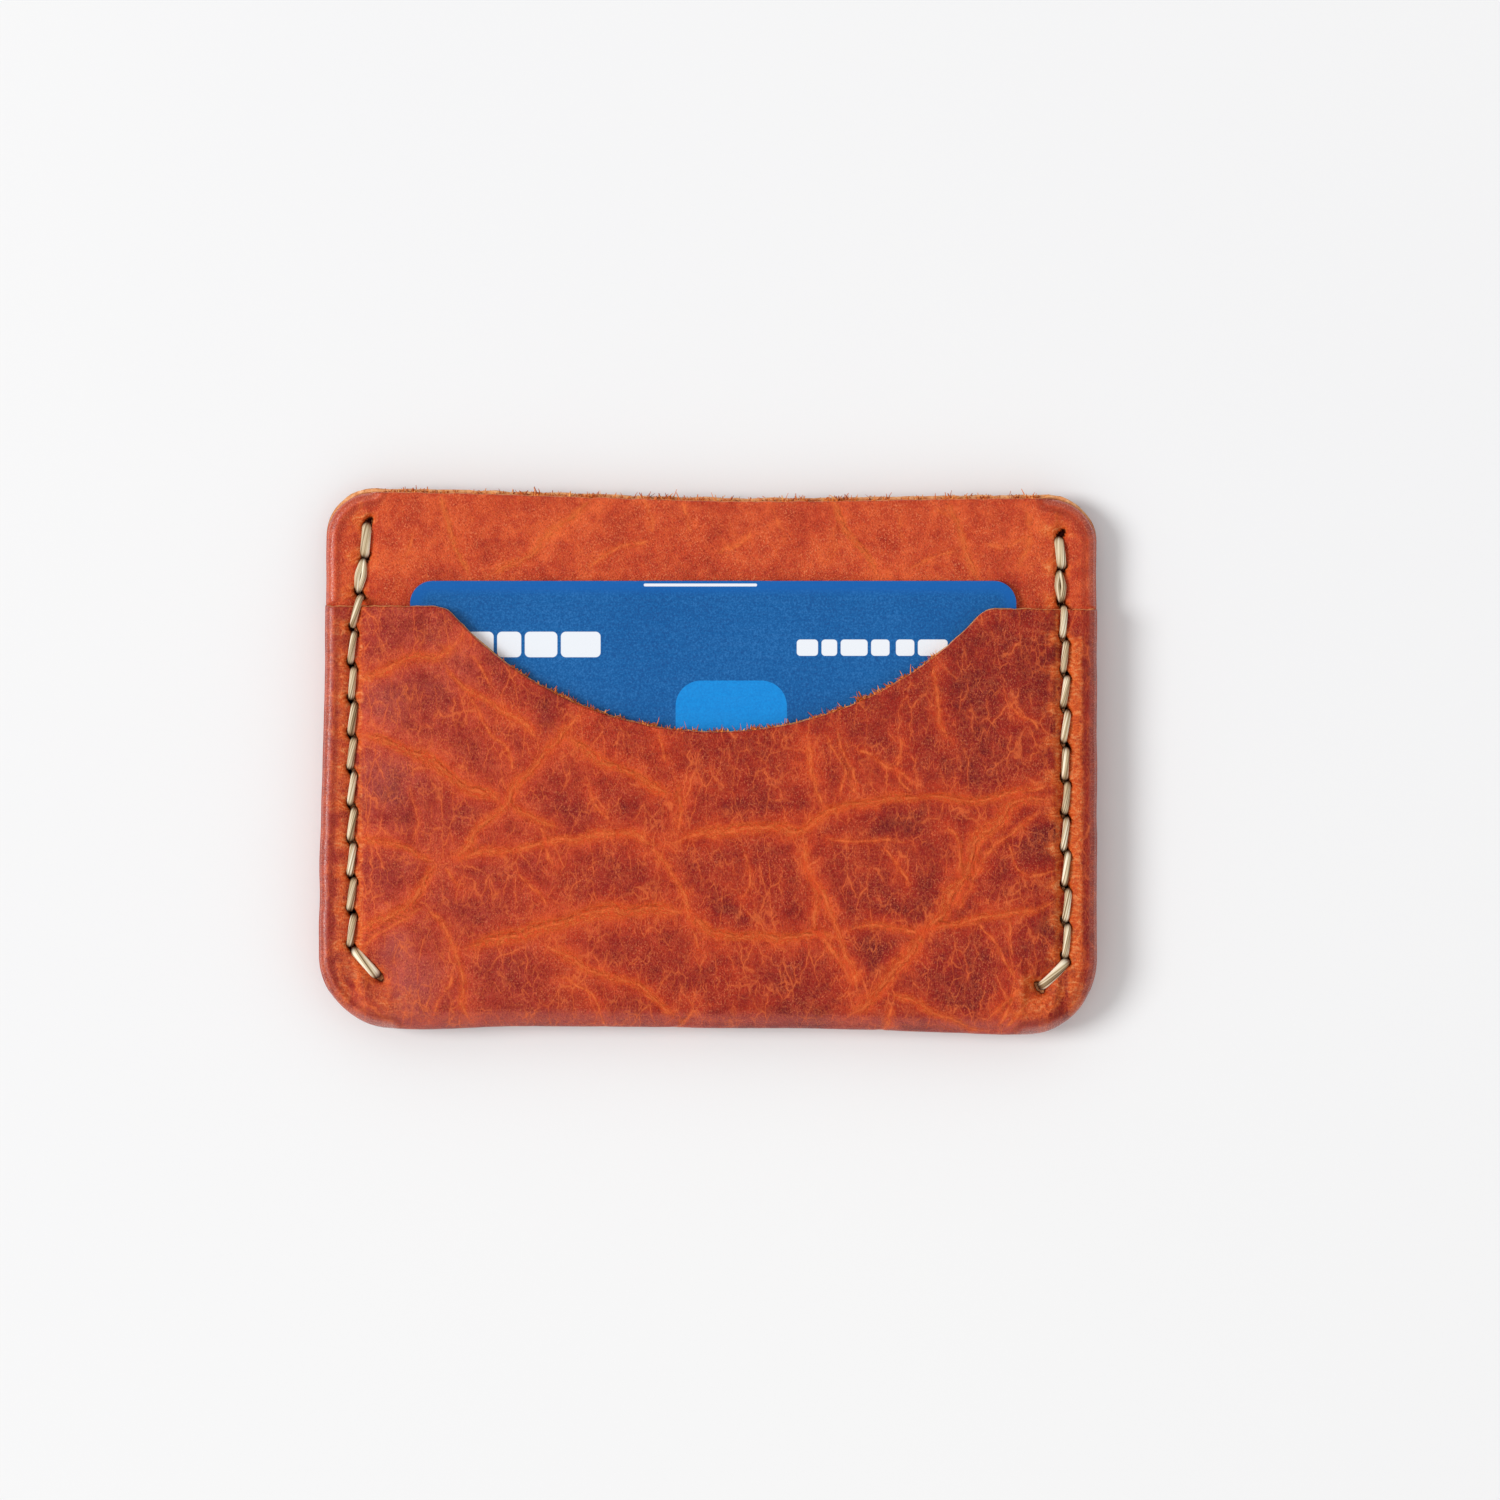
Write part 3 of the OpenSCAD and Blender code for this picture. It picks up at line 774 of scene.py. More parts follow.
def tube(line, sideways, half_w, half_h, phase):
    """Rings of points round a line: a flattened strand of twisted plies."""
    ahead = np.gradient(line, axis=0)
    ahead /= np.linalg.norm(ahead, axis=1)[:, None]
    up = np.cross(ahead, sideways)
    up /= np.linalg.norm(up, axis=1)[:, None]
    t = np.linspace(0, 1, len(line))[:, None]
    turn = np.linspace(0, 2 * math.pi, STRAND_SIDES, endpoint=False)[None, :]
    twisted = turn - STRAND_TWIST * t - phase
    bulge = 1 + 0.07 * np.cos(STRAND_PLIES * twisted) + 0.012 * np.cos(11 * twisted)
    across = (half_w[:, None] * bulge * np.cos(turn))[..., None] * sideways
    rise = (half_h[:, None] * bulge * np.sin(turn))[..., None] * up[:, None, :]
    strand = np.dstack((1.5 * np.cos(twisted) + 5 * phase, 1.5 * np.sin(twisted),
                        np.broadcast_to(1.2 * t, twisted.shape)))
    return line[:, None, :] + across + rise, strand


def stitch(start, end, face, levels, offset, size, phase):
    """One strand from hole to hole; face is 1 on the front and -1 on the back."""
    way = (end - start) / np.linalg.norm(end - start)
    sideways = np.array((way[1], -way[0], 0.0)) * face
    sink, full_half_h = STITCH_SINK[face], STRAND_HALF_H if face > 0 else BACK_HALF_H
    middle = 0.5 * (levels[0] + levels[1]) - face * sink
    stations = ((0.0, None), (0.0, -1.1), (0.05, -0.5), (0.2, 0.0), (0.5, 0.14), (0.8, 0.0),
                (0.95, -0.5), (1.0, -1.1), (1.0, None))
    points = []
    for share, lift in stations:
        spot = mix(start, end, share) + offset * math.sin(math.pi * share) * sideways[:2]
        level = mix(levels[0], levels[1], smooth(-0.05, 0.25, share)) - face * sink
        height = THREAD_MIDDLE_Z if lift is None else level + face * lift
        points.append((spot[0], spot[1], height))
    line = smooth_line(points)
    t = np.linspace(0, 1, len(line))
    full = smooth(0.12, 0.34, t) * smooth(0.12, 0.34, 1 - t)
    half_w = size * mix(0.40, STRAND_HALF_W, full)
    half_h = mix(0.7 * full_half_h, full_half_h, full)
    rings, strand = tube(line, sideways, half_w, half_h, phase)
    # painted shade: the strand darkens where it dives under the leather into a hole
    painted_dive_shade = smooth(0.0, -0.75, face * (line[:, 2] - middle))
    painted_dive_shade = np.broadcast_to(painted_dive_shade[:, None], rings.shape[:2])
    return rings, strand, painted_dive_shade


def closed_tube_faces(rows, sides, first):
    """Faces of a tube of rings with closed ends."""
    numbers = first + np.arange(rows * sides).reshape(rows, sides)
    wrapped = np.hstack((numbers, numbers[:, :1]))
    faces = grid_faces(wrapped, flip=True)
    faces.append(numbers[0].tolist())
    faces.append(numbers[-1][::-1].tolist())
    return faces


def surface_level(i, face):
    """Height of the leather at hole i on one face."""
    if face < 0:
        return SEAM_LIFT if i > STITCHES_ON_PANEL else SEAM_LIFT + SEAM_T
    layer = "front_pocket" if i > STITCHES_ON_PANEL else "front_panel"
    return LAYER_Z[layer][0] + SEAM_T


def seam_thread(name, side, material, node):
    """All stitches of one seam, on both faces."""
    rng = np.random.default_rng(7 + side)
    vertices, faces, strands, painted_dive_shades = [], [], [], []
    for face in (1, -1):
        for i in range(len(HOLES[side]) - 1):
            down = [-math.copysign(1, slit_direction(j)[1]) * slit_direction(j) for j in (i, i + 1)]
            start = HOLES[side][i] + STRAND_STEP * down[0] + rng.normal(0, 0.1, 2)
            step_back = STRAND_STEP if i + 2 < len(HOLES[side]) else 0.0
            end = HOLES[side][i + 1] - step_back * down[1] + rng.normal(0, 0.1, 2)
            levels = (surface_level(i, face), surface_level(i + 1, face))
            offsets, size = (0.0,), 1.0
            if i == DOUBLED_STITCH:
                offsets, size = (-0.42, 0.42), 0.85
            elif i in (0, len(HOLES[side]) - 2):
                size = 1.35
            for offset in offsets:
                size_here = size * rng.uniform(0.94, 1.06)
                phase = rng.uniform(0, 6)
                rings, strand, painted_dive_shade = stitch(start, end, face, levels, offset, size_here, phase)
                first = sum(len(v) for v in vertices)
                faces += closed_tube_faces(rings.shape[0], rings.shape[1], first)
                vertices.append(rings.reshape(-1, 3))
                strands.append(strand.reshape(-1, 3))
                painted_dive_shades.append(painted_dive_shade.ravel())
    attributes = {"strand": np.vstack(strands), "painted_dive_shade": np.concatenate(painted_dive_shades)}
    return new_piece(name, settle(np.vstack(vertices)), faces, attributes, material, node)


# ---------------------------------------------------------------- loose fibres of the cut edges


def fibres(name, roots, aims, lengths, material, seed, thickness, levels):
    """Short tapered hairs: roots are points, aims are rough directions, both as rows of x, y, z.

    levels are the lowest and highest z they may reach, so that they stay clear of the card.
    """
    rng = np.random.default_rng(seed)
    vertices, faces, shades = [], [], []
    steps, sides = 4, 4
    for root, aim, length in zip(roots, aims, lengths):
        direction = aim / np.linalg.norm(aim)
        curl = rng.normal(0, 0.9, 3)
        line = np.array([root + direction * length * k / steps + curl * length * (k / steps) ** 2 * 0.5
                         for k in range(steps + 1)])
        a = np.cross(direction, rng.normal(0, 1, 3))
        a /= np.linalg.norm(a)
        b = np.cross(direction, a)
        first = len(vertices)
        radius = thickness * rng.uniform(0.6, 1.5)
        for k, centre in enumerate(line):
            r = radius * (1 - 0.75 * k / steps)
            for j in range(sides):
                turn = 2 * math.pi * j / sides
                vertices.append(centre + r * (math.cos(turn) * a + math.sin(turn) * b))
        faces += closed_tube_faces(steps + 1, sides, first)
        shades += [rng.uniform()] * (sides * (steps + 1))
    vertices = np.array(vertices)
    vertices[:, 2] = np.clip(vertices[:, 2], *levels)
    return new_piece(name, settle(vertices), faces, {"shade": shades}, material, None)


FIBRE_CLEARANCE = 0.08  # between the loose fibres and the card
STRAY_FIBRES = 14  # the longer ones of a tuft on the notch


def clumped(rng, count, clumps, low, high, spread):
    """Random places from low to high, most of them in clumps."""
    middles = rng.uniform(low, high, clumps)
    loose = rng.uniform(low, high, count // 3)
    tight = rng.choice(middles, count - len(loose)) + rng.normal(0, spread, count - len(loose))
    return np.clip(np.concatenate((loose, tight)), low, high)


def top_edge_fibres(material):
    """Loose fibres along the cut top edge of the two tall panels."""
    rng = np.random.default_rng(31)
    count = 4200
    x = clumped(rng, count, 85, -46, 48.5, 0.45)
    z = rng.uniform(LAYER_Z["rear_panel"][0] + 0.5, LAYER_Z["front_panel"][1] + 0.7, count)
    corner = corner_cut(np.full(count, HOLDER_H), True) * smooth(46, 48, np.abs(x))
    y = FOLD_Y + HOLDER_H - 0.15 - 0.1 * corner - top_sag(x)
    roots = np.column_stack((x, y, z))
    aims = np.column_stack((rng.normal(0, 1.0, count), np.ones(count), rng.normal(0.1, 0.6, count)))
    lengths = rng.gamma(2.0, 0.10, count) + 0.2
    return fibres("top_edge_fibres", roots, aims, np.minimum(lengths, 1.1), material,
                  32, 0.16, (0.1, CARD_BACK_Z - FIBRE_CLEARANCE))


def notch_edge_fibres(material):
    """Loose fibres along the front pocket's thumb notch, and one tuft of longer ones."""
    rng = np.random.default_rng(41)
    count = 700
    x = clumped(rng, count, 34, -30, 32, 0.5)
    x[:STRAY_FIBRES] = 21.5 + rng.normal(0, 0.35, STRAY_FIBRES)
    top = FOLD_Y + notched_top(x)
    roots = np.column_stack((x, top + 0.05,
                             rng.uniform(MIDDLE_Z - LEATHER + 0.25, MIDDLE_Z - 0.45, count)))
    lean = -(x - NOTCH_X) / NOTCH_R
    aims = np.column_stack((rng.normal(0, 0.7, count) + lean, np.ones(count),
                            rng.normal(0.25, 0.4, count)))
    lengths = np.minimum(rng.gamma(2.0, 0.13, count) + 0.15, 0.9)
    lengths[:STRAY_FIBRES] = rng.uniform(0.7, 1.5, STRAY_FIBRES)
    return fibres("notch_edge_fibres", roots, aims, lengths, material, 42, 0.12,
                  (CARD_FRONT_Z + FIBRE_CLEARANCE, FAR))


# ---------------------------------------------------------------- node materials


def srgb(red, green, blue):
    """A linear colour from 0 to 255 display values."""
    values = [c / 255 for c in (red, green, blue)]
    return [c / 12.92 if c <= 0.04045 else ((c + 0.055) / 1.055) ** 2.4 for c in values] + [1.0]


STUDIO_LIGHT = 1.09  # how much brighter than its own colour a flat matt surface shows
GLOSS = 0.007  # white that a glossy surface adds


def shown(red, green, blue):
    """The surface colour that shows as these display values under the studio light."""
    return [max((c - GLOSS) / STUDIO_LIGHT, 0.0008) for c in srgb(red, green, blue)[:3]] + [1.0]


class Value:
    """An output of a node. Sums such as 0.5 * a + b make the nodes that work them out."""

    def __init__(self, shader, socket):
        self.shader, self.socket = shader, socket

    def __add__(self, other):
        return self.shader.math("ADD", self, other)

    def __sub__(self, other):
        return self.shader.math("SUBTRACT", self, other)

    def __rsub__(self, other):
        return self.shader.math("SUBTRACT", other, self)

    def __mul__(self, other):
        return self.shader.math("MULTIPLY", self, other)

    def __abs__(self):
        return self.shader.math("ABSOLUTE", self)

    __radd__, __rmul__ = __add__, __mul__


class Shader:
    """A node material that is put together step by step, its colour as layers over each other."""

    def __init__(self, name):
        self.material = bpy.data.materials.new(name)
        self.material.use_nodes = True
        self.tree = self.material.node_tree
        self.surface = self.tree.nodes["Principled BSDF"]
        self.colour = None

    def put(self, socket, value):
        """Links a value to a socket, or sets the socket's own number, vector or colour."""
        if isinstance(value, Value):
            self.tree.links.new(value.socket, socket)
        else:
            socket.default_value = value

    def node(self, kind, settings=None, *first, **named):
        """A new node with its settings, and what goes into its first sockets and its named ones."""
        made = self.tree.nodes.new(kind)
        for key, value in (settings or {}).items():
            setattr(made, key, value)
        for socket, value in zip(made.inputs, first):
            self.put(socket, value)
        for key, value in named.items():
            self.put(made.inputs[key.replace("_", " ")], value)
        return made

    def output(self, made, name=0):
        return Value(self, made.outputs[name])

    def attribute(self, name, output="Fac"):
        return self.output(self.node("ShaderNodeAttribute", {"attribute_name": name}), output)

    def object_place(self):
        return self.output(self.node("ShaderNodeTexCoord"), "Object")

    def math(self, operation, a, b=0.0, clamp=False):
        return self.output(self.node("ShaderNodeMath", {"operation": operation, "use_clamp": clamp}, a, b))

    def step(self, value, low, high, to_low=0.0, to_high=1.0):
        """A smooth step of the value from low to high."""
        return self.output(self.node("ShaderNodeMapRange", {"interpolation_type": "SMOOTHSTEP"},
                                     value, low, high, to_low, to_high))

    def scaled(self, place, size, stretch=(1, 1, 1), shift=0.0):
        """The place in units of size, drawn out by stretch and moved by shift."""
        return self.output(self.node("ShaderNodeMapping", Vector=place,
                                     Location=(shift, 2 * shift, 3 * shift),
                                     Scale=[1 / (size * s) for s in stretch]))

    def noise(self, place, size, detail=2.0, rough=0.5, stretch=(1, 1, 1), shift=0.0):
        """Noise of about 0 to 1 with features of the given size in the units of place."""
        made = self.node("ShaderNodeTexNoise", Vector=self.scaled(place, size, stretch, shift), Scale=1.0,
                         Detail=detail, Roughness=rough)
        return self.output(made, "Fac")

    def cells(self, place, size, stretch=(1, 1, 1)):
        """Distance to the nearest border between random cells."""
        made = self.node("ShaderNodeTexVoronoi", {"feature": "DISTANCE_TO_EDGE"},
                         Vector=self.scaled(place, size, stretch), Scale=1.0)
        return self.output(made, "Distance")

    def warped(self, place, size, amount):
        """The place, pushed about by noise."""
        push = self.node("ShaderNodeTexNoise", Vector=self.scaled(place, size), Scale=1.0, Detail=2.0)
        centred = self.node("ShaderNodeVectorMath", {"operation": "SUBTRACT"},
                            self.output(push, "Color"), (0.5, 0.5, 0.5))
        return self.output(self.node("ShaderNodeVectorMath", {"operation": "MULTIPLY_ADD"},
                                     self.output(centred), [2 * amount] * 3, place))

    def ramp(self, value, stops):
        """The colour that a value has on a scale of places and colours."""
        made = self.node("ShaderNodeValToRGB", Fac=value)
        bar = made.color_ramp
        while len(bar.elements) < len(stops):
            bar.elements.new(0.5)
        for element, (place, colour) in zip(bar.elements, stops):
            element.position, element.color = place, colour
        return self.output(made, "Color")

    def lay(self, share, colour):
        """Lays a share of a colour over the material's colour so far."""
        made = self.node("ShaderNodeMix", {"data_type": "RGBA"}, share)
        self.put(made.inputs[6], self.colour)
        self.put(made.inputs[7], colour)
        self.colour = self.output(made, 2)

    def bump(self, height, strength, distance):
        made = self.node("ShaderNodeBump", Height=height, Strength=strength, Distance=distance)
        return self.output(made, "Normal")

    def finish(self, **sockets):
        """Gives the surface its colour and its other inputs, and returns the material."""
        self.put(self.surface.inputs["Base Color"], self.colour)
        for key, value in sockets.items():
            self.put(self.surface.inputs[key.replace("_", " ")], value)
        return self.material


def speckles(s, place, share, dark):
    """Fine speckle and short upright flecks, with pale specks painted in as glints off the grain: (speck,
    relief).
    """
    speck = s.noise(place, 0.21, 2.0, 0.75, (1, 1.25, 1), shift=17)
    fleck = s.noise(place, 0.26, 1.0, 0.5, (1, 1.5, 1), shift=23)
    crowd = s.step(s.noise(place, 4.0, 2.0, 0.5, shift=11), 0.35, 0.65, 0.45, 1.0)
    # painted highlight: the pale specks stand in for glints off the grain; the pale flecks are the
    # leather's own
    light = s.math("MAXIMUM", s.step(speck, 0.56, 0.68), s.step(fleck, 0.57, 0.72, 0.0, 0.7))
    s.lay(light * crowd * share, shown(255, 148, 98))
    s.lay(s.step(speck, 0.47, 0.28, 0.0, 0.68), dark)
    return speck, speck + 0.4 * fleck


def hairlines(s, place, hair_share, pebble_share, warm):
    """A net of hairlines, drawn out upwards and seen only here and there; returns its relief."""
    wander = s.warped(place, 1.6, 0.45)
    net = s.cells(wander, 2.2, (1, 3.0, 1))
    seen = hair_share * s.step(s.noise(place, 5.0, 3.0, 0.6, shift=43), 0.42, 0.62)
    hair = s.step(net, 0.034, 0.008) * seen
    s.lay(0.28 * s.step(net, 0.13, 0.02) * seen, warm)
    s.lay(0.50 * hair, shown(250, 124, 64))
    middle_net = s.step(s.cells(wander, 1.15, (1, 2.2, 1)), 0.07, 0.02)
    middle_seen = s.step(s.noise(place, 3.0, 2.0, 0.6, shift=53), 0.45, 0.62, 0.0, hair_share)
    s.lay(0.42 * middle_net * middle_seen, shown(246, 118, 60))
    fine_net = s.step(s.cells(wander, 0.6, (1, 1.5, 1)), 0.16, 0.04)
    fine_seen = s.step(s.noise(place, 3.3, 2.0, 0.6, shift=47), 0.35, 0.60)
    s.lay(pebble_share * fine_net * fine_seen, shown(246, 122, 68))
    return 0.08 * s.math("MAXIMUM", hair, fine_net)


def crease_strands(s, blots, share, warm, dark):
    """Creases: a warm band with ropes of brighter strands along it; returns their relief."""
    course, band, sure = s.attribute("course", "Vector"), s.attribute("crease"), s.attribute("sure")
    across = s.output(s.node("ShaderNodeSeparateXYZ", Vector=course), "Y")
    rope = s.step(abs(s.noise(course, 0.24, 2.0, 0.6, (4.5, 1, 1), shift=2) - 0.52), 0.055, 0.0)
    sway = 0.8 * (s.noise(course, 2.2, 2.0, 0.6, (1.2, 9, 1), shift=4) - 0.5)
    core = s.step(abs(across + sway), 0.24, 0.05)
    fold_shadow = s.step(abs(across + sway - 0.42), 0.2, 0.05)
    breaks = s.step(s.noise(course, 2.0, 3.0, 0.7, (1, 9, 1), shift=6), 0.40, 0.60)
    blotted = s.math("ADD", 1.2 * band, 1.1 * (blots - 0.5), clamp=True)
    s.lay(share * s.step(blotted, 0.15, 1.05), warm)
    s.lay(0.95 * rope * sure * s.step(blotted, 0.25, 1.0), shown(255, 130, 66))
    shadow = fold_shadow * breaks * sure * s.step(band, 0.35, 0.9)
    s.lay(0.32 * shadow, dark)
    s.lay(0.72 * core * breaks * sure * s.step(band, 0.10, 0.50), shown(255, 126, 64))
    return 0.35 * rope * sure * band - 0.5 * shadow


def stretched_leather(s, place, blots):
    """Orange, wrinkled leather round the stitches and corners; returns its relief."""
    patchy = s.step(s.attribute("glow") + 1.6 * (blots - 0.5), 0.20, 1.0)
    wrinkles = s.noise(s.warped(place, 2.0, 0.8), 0.34, 3.0, 0.65, (2.6, 1, 1), shift=37)
    s.lay(0.82 * patchy, s.ramp(wrinkles, [(0.34, shown(206, 80, 34)), (0.5, shown(240, 108, 44)),
                                           (0.66, shown(255, 160, 98))]))
    return 0.8 * wrinkles * patchy


def cut_edges(s, place, inset, edge, raw, dark):
    """Burnished sides with a creased line inside them, and raw cut edges; returns the raw relief."""
    burnt = s.noise(place, 0.5, 3.0, 0.65, (2.5, 1, 1), shift=29)
    s.lay(0.42 * edge, s.ramp(burnt, [(0.3, shown(120, 48, 30)), (0.7, shown(190, 84, 46))]))
    s.lay(0.45 * s.step(inset, 1.1, 1.5) * s.step(inset, 2.3, 1.7), dark)
    flesh = s.noise(place, 0.6, 4.0, 0.7, shift=31)
    s.lay(raw, s.ramp(flesh, [(0.25, shown(220, 116, 58)), (0.5, shown(252, 172, 104)),
                              (0.8, shown(255, 220, 170))]))
    return 1.5 * burnt * raw


def leather(name, fleck_and_glint_share=0.52, hair_share=0.9, pebble_share=0.16, band_share=0.64, ground=(1, 1, 1)):
    """Waxed pull-up leather: dark red where it is flat, orange where it is stretched or creased.

    The shares say how strongly flecks and painted glints, hairlines, pebbles and crease bands show, and
    ground multiplies the red, green and blue of the leather's own colour.
    """
    def tint(red, green, blue):
        return shown(red * ground[0], green * ground[1], blue * ground[2])

    s = Shader(name)
    place, inset, raw = s.attribute("sheet", "Vector"), s.attribute("inset"), s.attribute("raw")
    edge = s.step(inset, 1.5, 0.5)

    # Broad patches: darker in dark spots and mid-cell, painted shade to the right, painted sheen to the
    # left and fold.
    blots = s.noise(place, 1.8, 4.0, 0.68, shift=7)
    tone = 0.45 * s.noise(place, 8.0, 2.0, 0.55) + 0.60 * blots
    # shade holds dark spots and a painted shade towards the front's right side
    tone = tone - 0.13 * s.attribute("shade") - 0.22 * s.attribute("cell")
    s.colour = s.ramp(tone, [(0.11, tint(122, 18, 10)), (0.28, tint(158, 34, 18)),
                             (0.45, tint(191, 54, 25)), (0.65, tint(228, 82, 36))])
    # painted sheen: a pale pinkish layer stands in for highlights, in spots, towards the left side and
    # along the fold
    s.lay(0.40 * s.step(s.attribute("painted_sheen") + 1.2 * (blots - 0.5), 0.0, 1.2), shown(200, 108, 100))

    # Each layer of marks over them adds to the relief.
    speck, height = speckles(s, place, fleck_and_glint_share, tint(118, 22, 8))
    height = height + hairlines(s, place, hair_share, pebble_share, tint(226, 84, 32))
    height = height + crease_strands(s, blots, band_share, tint(236, 84, 32), tint(134, 40, 20))
    height = height + stretched_leather(s, place, blots)
    height = height * (1.0 - 0.85 * edge) + cut_edges(s, place, inset, edge, raw, tint(140, 40, 24))
    # painted shade: the stitching holes are coloured near black
    s.lay(s.step(s.attribute("pit"), 0.3, 0.95), shown(58, 22, 10))
    return s.finish(Roughness=s.step(speck, 0.3, 0.75, 0.34, 0.50) + 0.35 * raw - 0.16 * edge,
                    Normal=s.bump(height, 1.0, 0.00022),
                    Specular_IOR_Level=s.step(edge, 0.0, 1.0, 0.22, 0.8))


def thread(name):
    """Waxed linen thread: pale khaki filaments with darker and paler streaks along the twist, and painted
    shade where it dives into the holes.
    """
    s = Shader(name)
    place = s.attribute("strand", "Vector")
    streaks = s.noise(place, 0.62, 3.0, 0.55, (1, 1, 2.6))
    wax = s.noise(place, 1.1, 2.0, 0.5, shift=9)
    s.colour = s.ramp(0.75 * streaks + 0.25 * wax,
                      [(0.36, shown(108, 80, 52)), (0.44, shown(172, 146, 108)),
                       (0.52, shown(222, 200, 162)), (0.60, shown(255, 244, 218))])
    # painted shade where the strand dives into the holes
    s.lay(0.9 * s.attribute("painted_dive_shade"), shown(70, 40, 20))
    return s.finish(Roughness=s.step(streaks, 0.3, 0.7, 0.42, 0.62), Normal=s.bump(streaks, 0.5, 0.00010),
                    Specular_IOR_Level=0.4)


def fibre(name):
    """Loose leather fibres, from brown to golden orange."""
    s = Shader(name)
    shade = s.attribute("shade")
    s.colour = s.ramp(0.8 * shade + 0.25 * s.noise(s.object_place(), 0.0008, 2.0),
                      [(0.1, shown(150, 62, 20)), (0.4, shown(206, 96, 30)),
                       (0.7, shown(240, 130, 50)), (0.95, shown(255, 186, 106))])
    return s.finish(Roughness=s.step(shade, 0, 1, 0.6, 0.8))


# ---------------------------------------------------------------- the card


class CardShader(Shader):
    """A shader that measures in millimetres from the card's lower left corner."""

    def __init__(self, name):
        super().__init__(name)
        moved = self.node("ShaderNodeVectorMath", {"operation": "MULTIPLY_ADD"}, self.object_place(),
                          [1 / MM] * 3, tuple(-CARD_LOW))
        self.place = self.output(moved)
        split = self.node("ShaderNodeSeparateXYZ", Vector=self.place)
        self.x, self.y = self.output(split, "X"), self.output(split, "Y")

    def outside(self, low, high, corner):
        """Signed distance to a rectangle with round corners, in millimetres."""
        reach = []
        for value, a, b in ((self.x, low[0], high[0]), (self.y, low[1], high[1])):
            reach.append(abs(value - (a + b) / 2) - ((b - a) / 2 - corner))
        out = [self.math("MAXIMUM", r, 0.0) for r in reach]
        length = self.math("SQRT", out[0] * out[0] + out[1] * out[1])
        inner = self.math("MINIMUM", self.math("MAXIMUM", reach[0], reach[1]), 0.0)
        return length + inner - corner

    def shape(self, low, high, corner, soft=0.04):
        """1 inside the rounded rectangle and 0 outside."""
        return self.step(self.outside(low, high, corner), soft, -soft)


CARD_W, CARD_H = CARD_HIGH[0] - CARD_LOW[0], CARD_HIGH[1] - CARD_LOW[1]
CARD_CORNER_R = 3.18

# Plain shapes printed on the card: lower left and upper right corner, and corner radius.
TOP_LINE = ((33.0, 53.2), (49.0, 53.6), 0.2)
PLAIN_BADGE = ((37.5, 22.0), (53.2, 39.9), 3.6)
# Rows of plain blocks: where they start, their height, corner radius and widths.
BLOCK_ROWS = (
    ((6.6, 43.2), 3.6, 0.7, (5.2, 3.4, 4.6, 5.6)),
    ((54.6, 43.4), 2.3, 0.5, (3.0, 2.2, 3.8, 2.6)),
    ((68.6, 43.4), 2.3, 0.5, (2.6, 4.2, 3.0)),
)
BLOCK_GAP = 0.5
# Faint bands on the card's back: their levels, their ends and their height.
BAND_LEVELS, BAND_ENDS, BAND_H = (6.0, 9.0, 12.0, 15.0), (8.0, 62.0), 1.0
# Contacts of the chip: width of the two side columns, and half the height of their middle pads.
PAD_W, PAD_HALF_H = 4.2, 2.0


def card_print(name):
    """Blue print with plain blocks and a plain badge in place of any lettering."""
    s = CardShader(name)
    dots = s.noise(s.place, 0.26, 2.0, 0.7)
    cloud = s.noise(s.place, 14.0, 1.0, 0.5)
    s.colour = s.ramp(0.85 * dots + 0.15 * cloud,
                      [(0.34, shown(4, 82, 148)), (0.5, shown(20, 97, 164)), (0.66, shown(46, 116, 184))])
    rim = s.step(s.outside((0, 0), (CARD_W, CARD_H), CARD_CORNER_R), -2.4, -0.8)
    s.lay(0.8 * rim, shown(2, 100, 180))
    s.lay(s.shape(*PLAIN_BADGE), s.ramp(dots, [(0.3, shown(10, 132, 214)), (0.7, shown(26, 150, 232))]))
    white = s.shape(*TOP_LINE)
    for (left, level), tall, corner, widths in BLOCK_ROWS:
        for wide in widths:
            block = s.shape((left, level), (left + wide, level + tall), corner)
            white = s.math("MAXIMUM", white, block)
            left += wide + BLOCK_GAP
    s.lay(white, srgb(232, 236, 242))
    specks = s.step(s.noise(s.place, 0.5, 2.0, 0.6, shift=13), 0.80, 0.86)
    s.lay(0.6 * specks, srgb(190, 205, 225))
    scratches = s.noise(s.place, 0.9, 2.0, 0.6, (6, 0.3, 1), shift=21)
    return s.finish(Roughness=s.step(scratches, 0.3, 0.8, 0.30, 0.46), Normal=s.bump(dots, 0.10, 0.00002),
                    Specular_IOR_Level=0.3)


def card_plastic(name):
    """White core, with faint layers in its edge."""
    s = CardShader(name)
    layers = s.noise(s.place, 0.6, 2.0, 0.5, (8, 8, 0.25))
    s.colour = s.ramp(layers, [(0.3, srgb(196, 204, 214)), (0.7, srgb(228, 232, 236))])
    return s.finish(Roughness=s.step(layers, 0.3, 0.7, 0.42, 0.58))


def card_back(name):
    """Pale blue back with faint printed bands in place of the small print."""
    s = CardShader(name)
    dots = s.noise(s.place, 0.16, 1.0, 0.5)
    s.colour = s.ramp(dots, [(0.3, srgb(20, 74, 146)), (0.7, srgb(40, 98, 168))])
    for level in BAND_LEVELS:
        band = s.shape((BAND_ENDS[0], level), (BAND_ENDS[1], level + BAND_H), 0.4)
        s.lay(0.35 * band, srgb(170, 196, 226))
    return s.finish(Roughness=s.step(dots, 0.3, 0.7, 0.30, 0.42), Normal=s.bump(dots, 0.10, 0.00002),
                    Specular_IOR_Level=0.3)


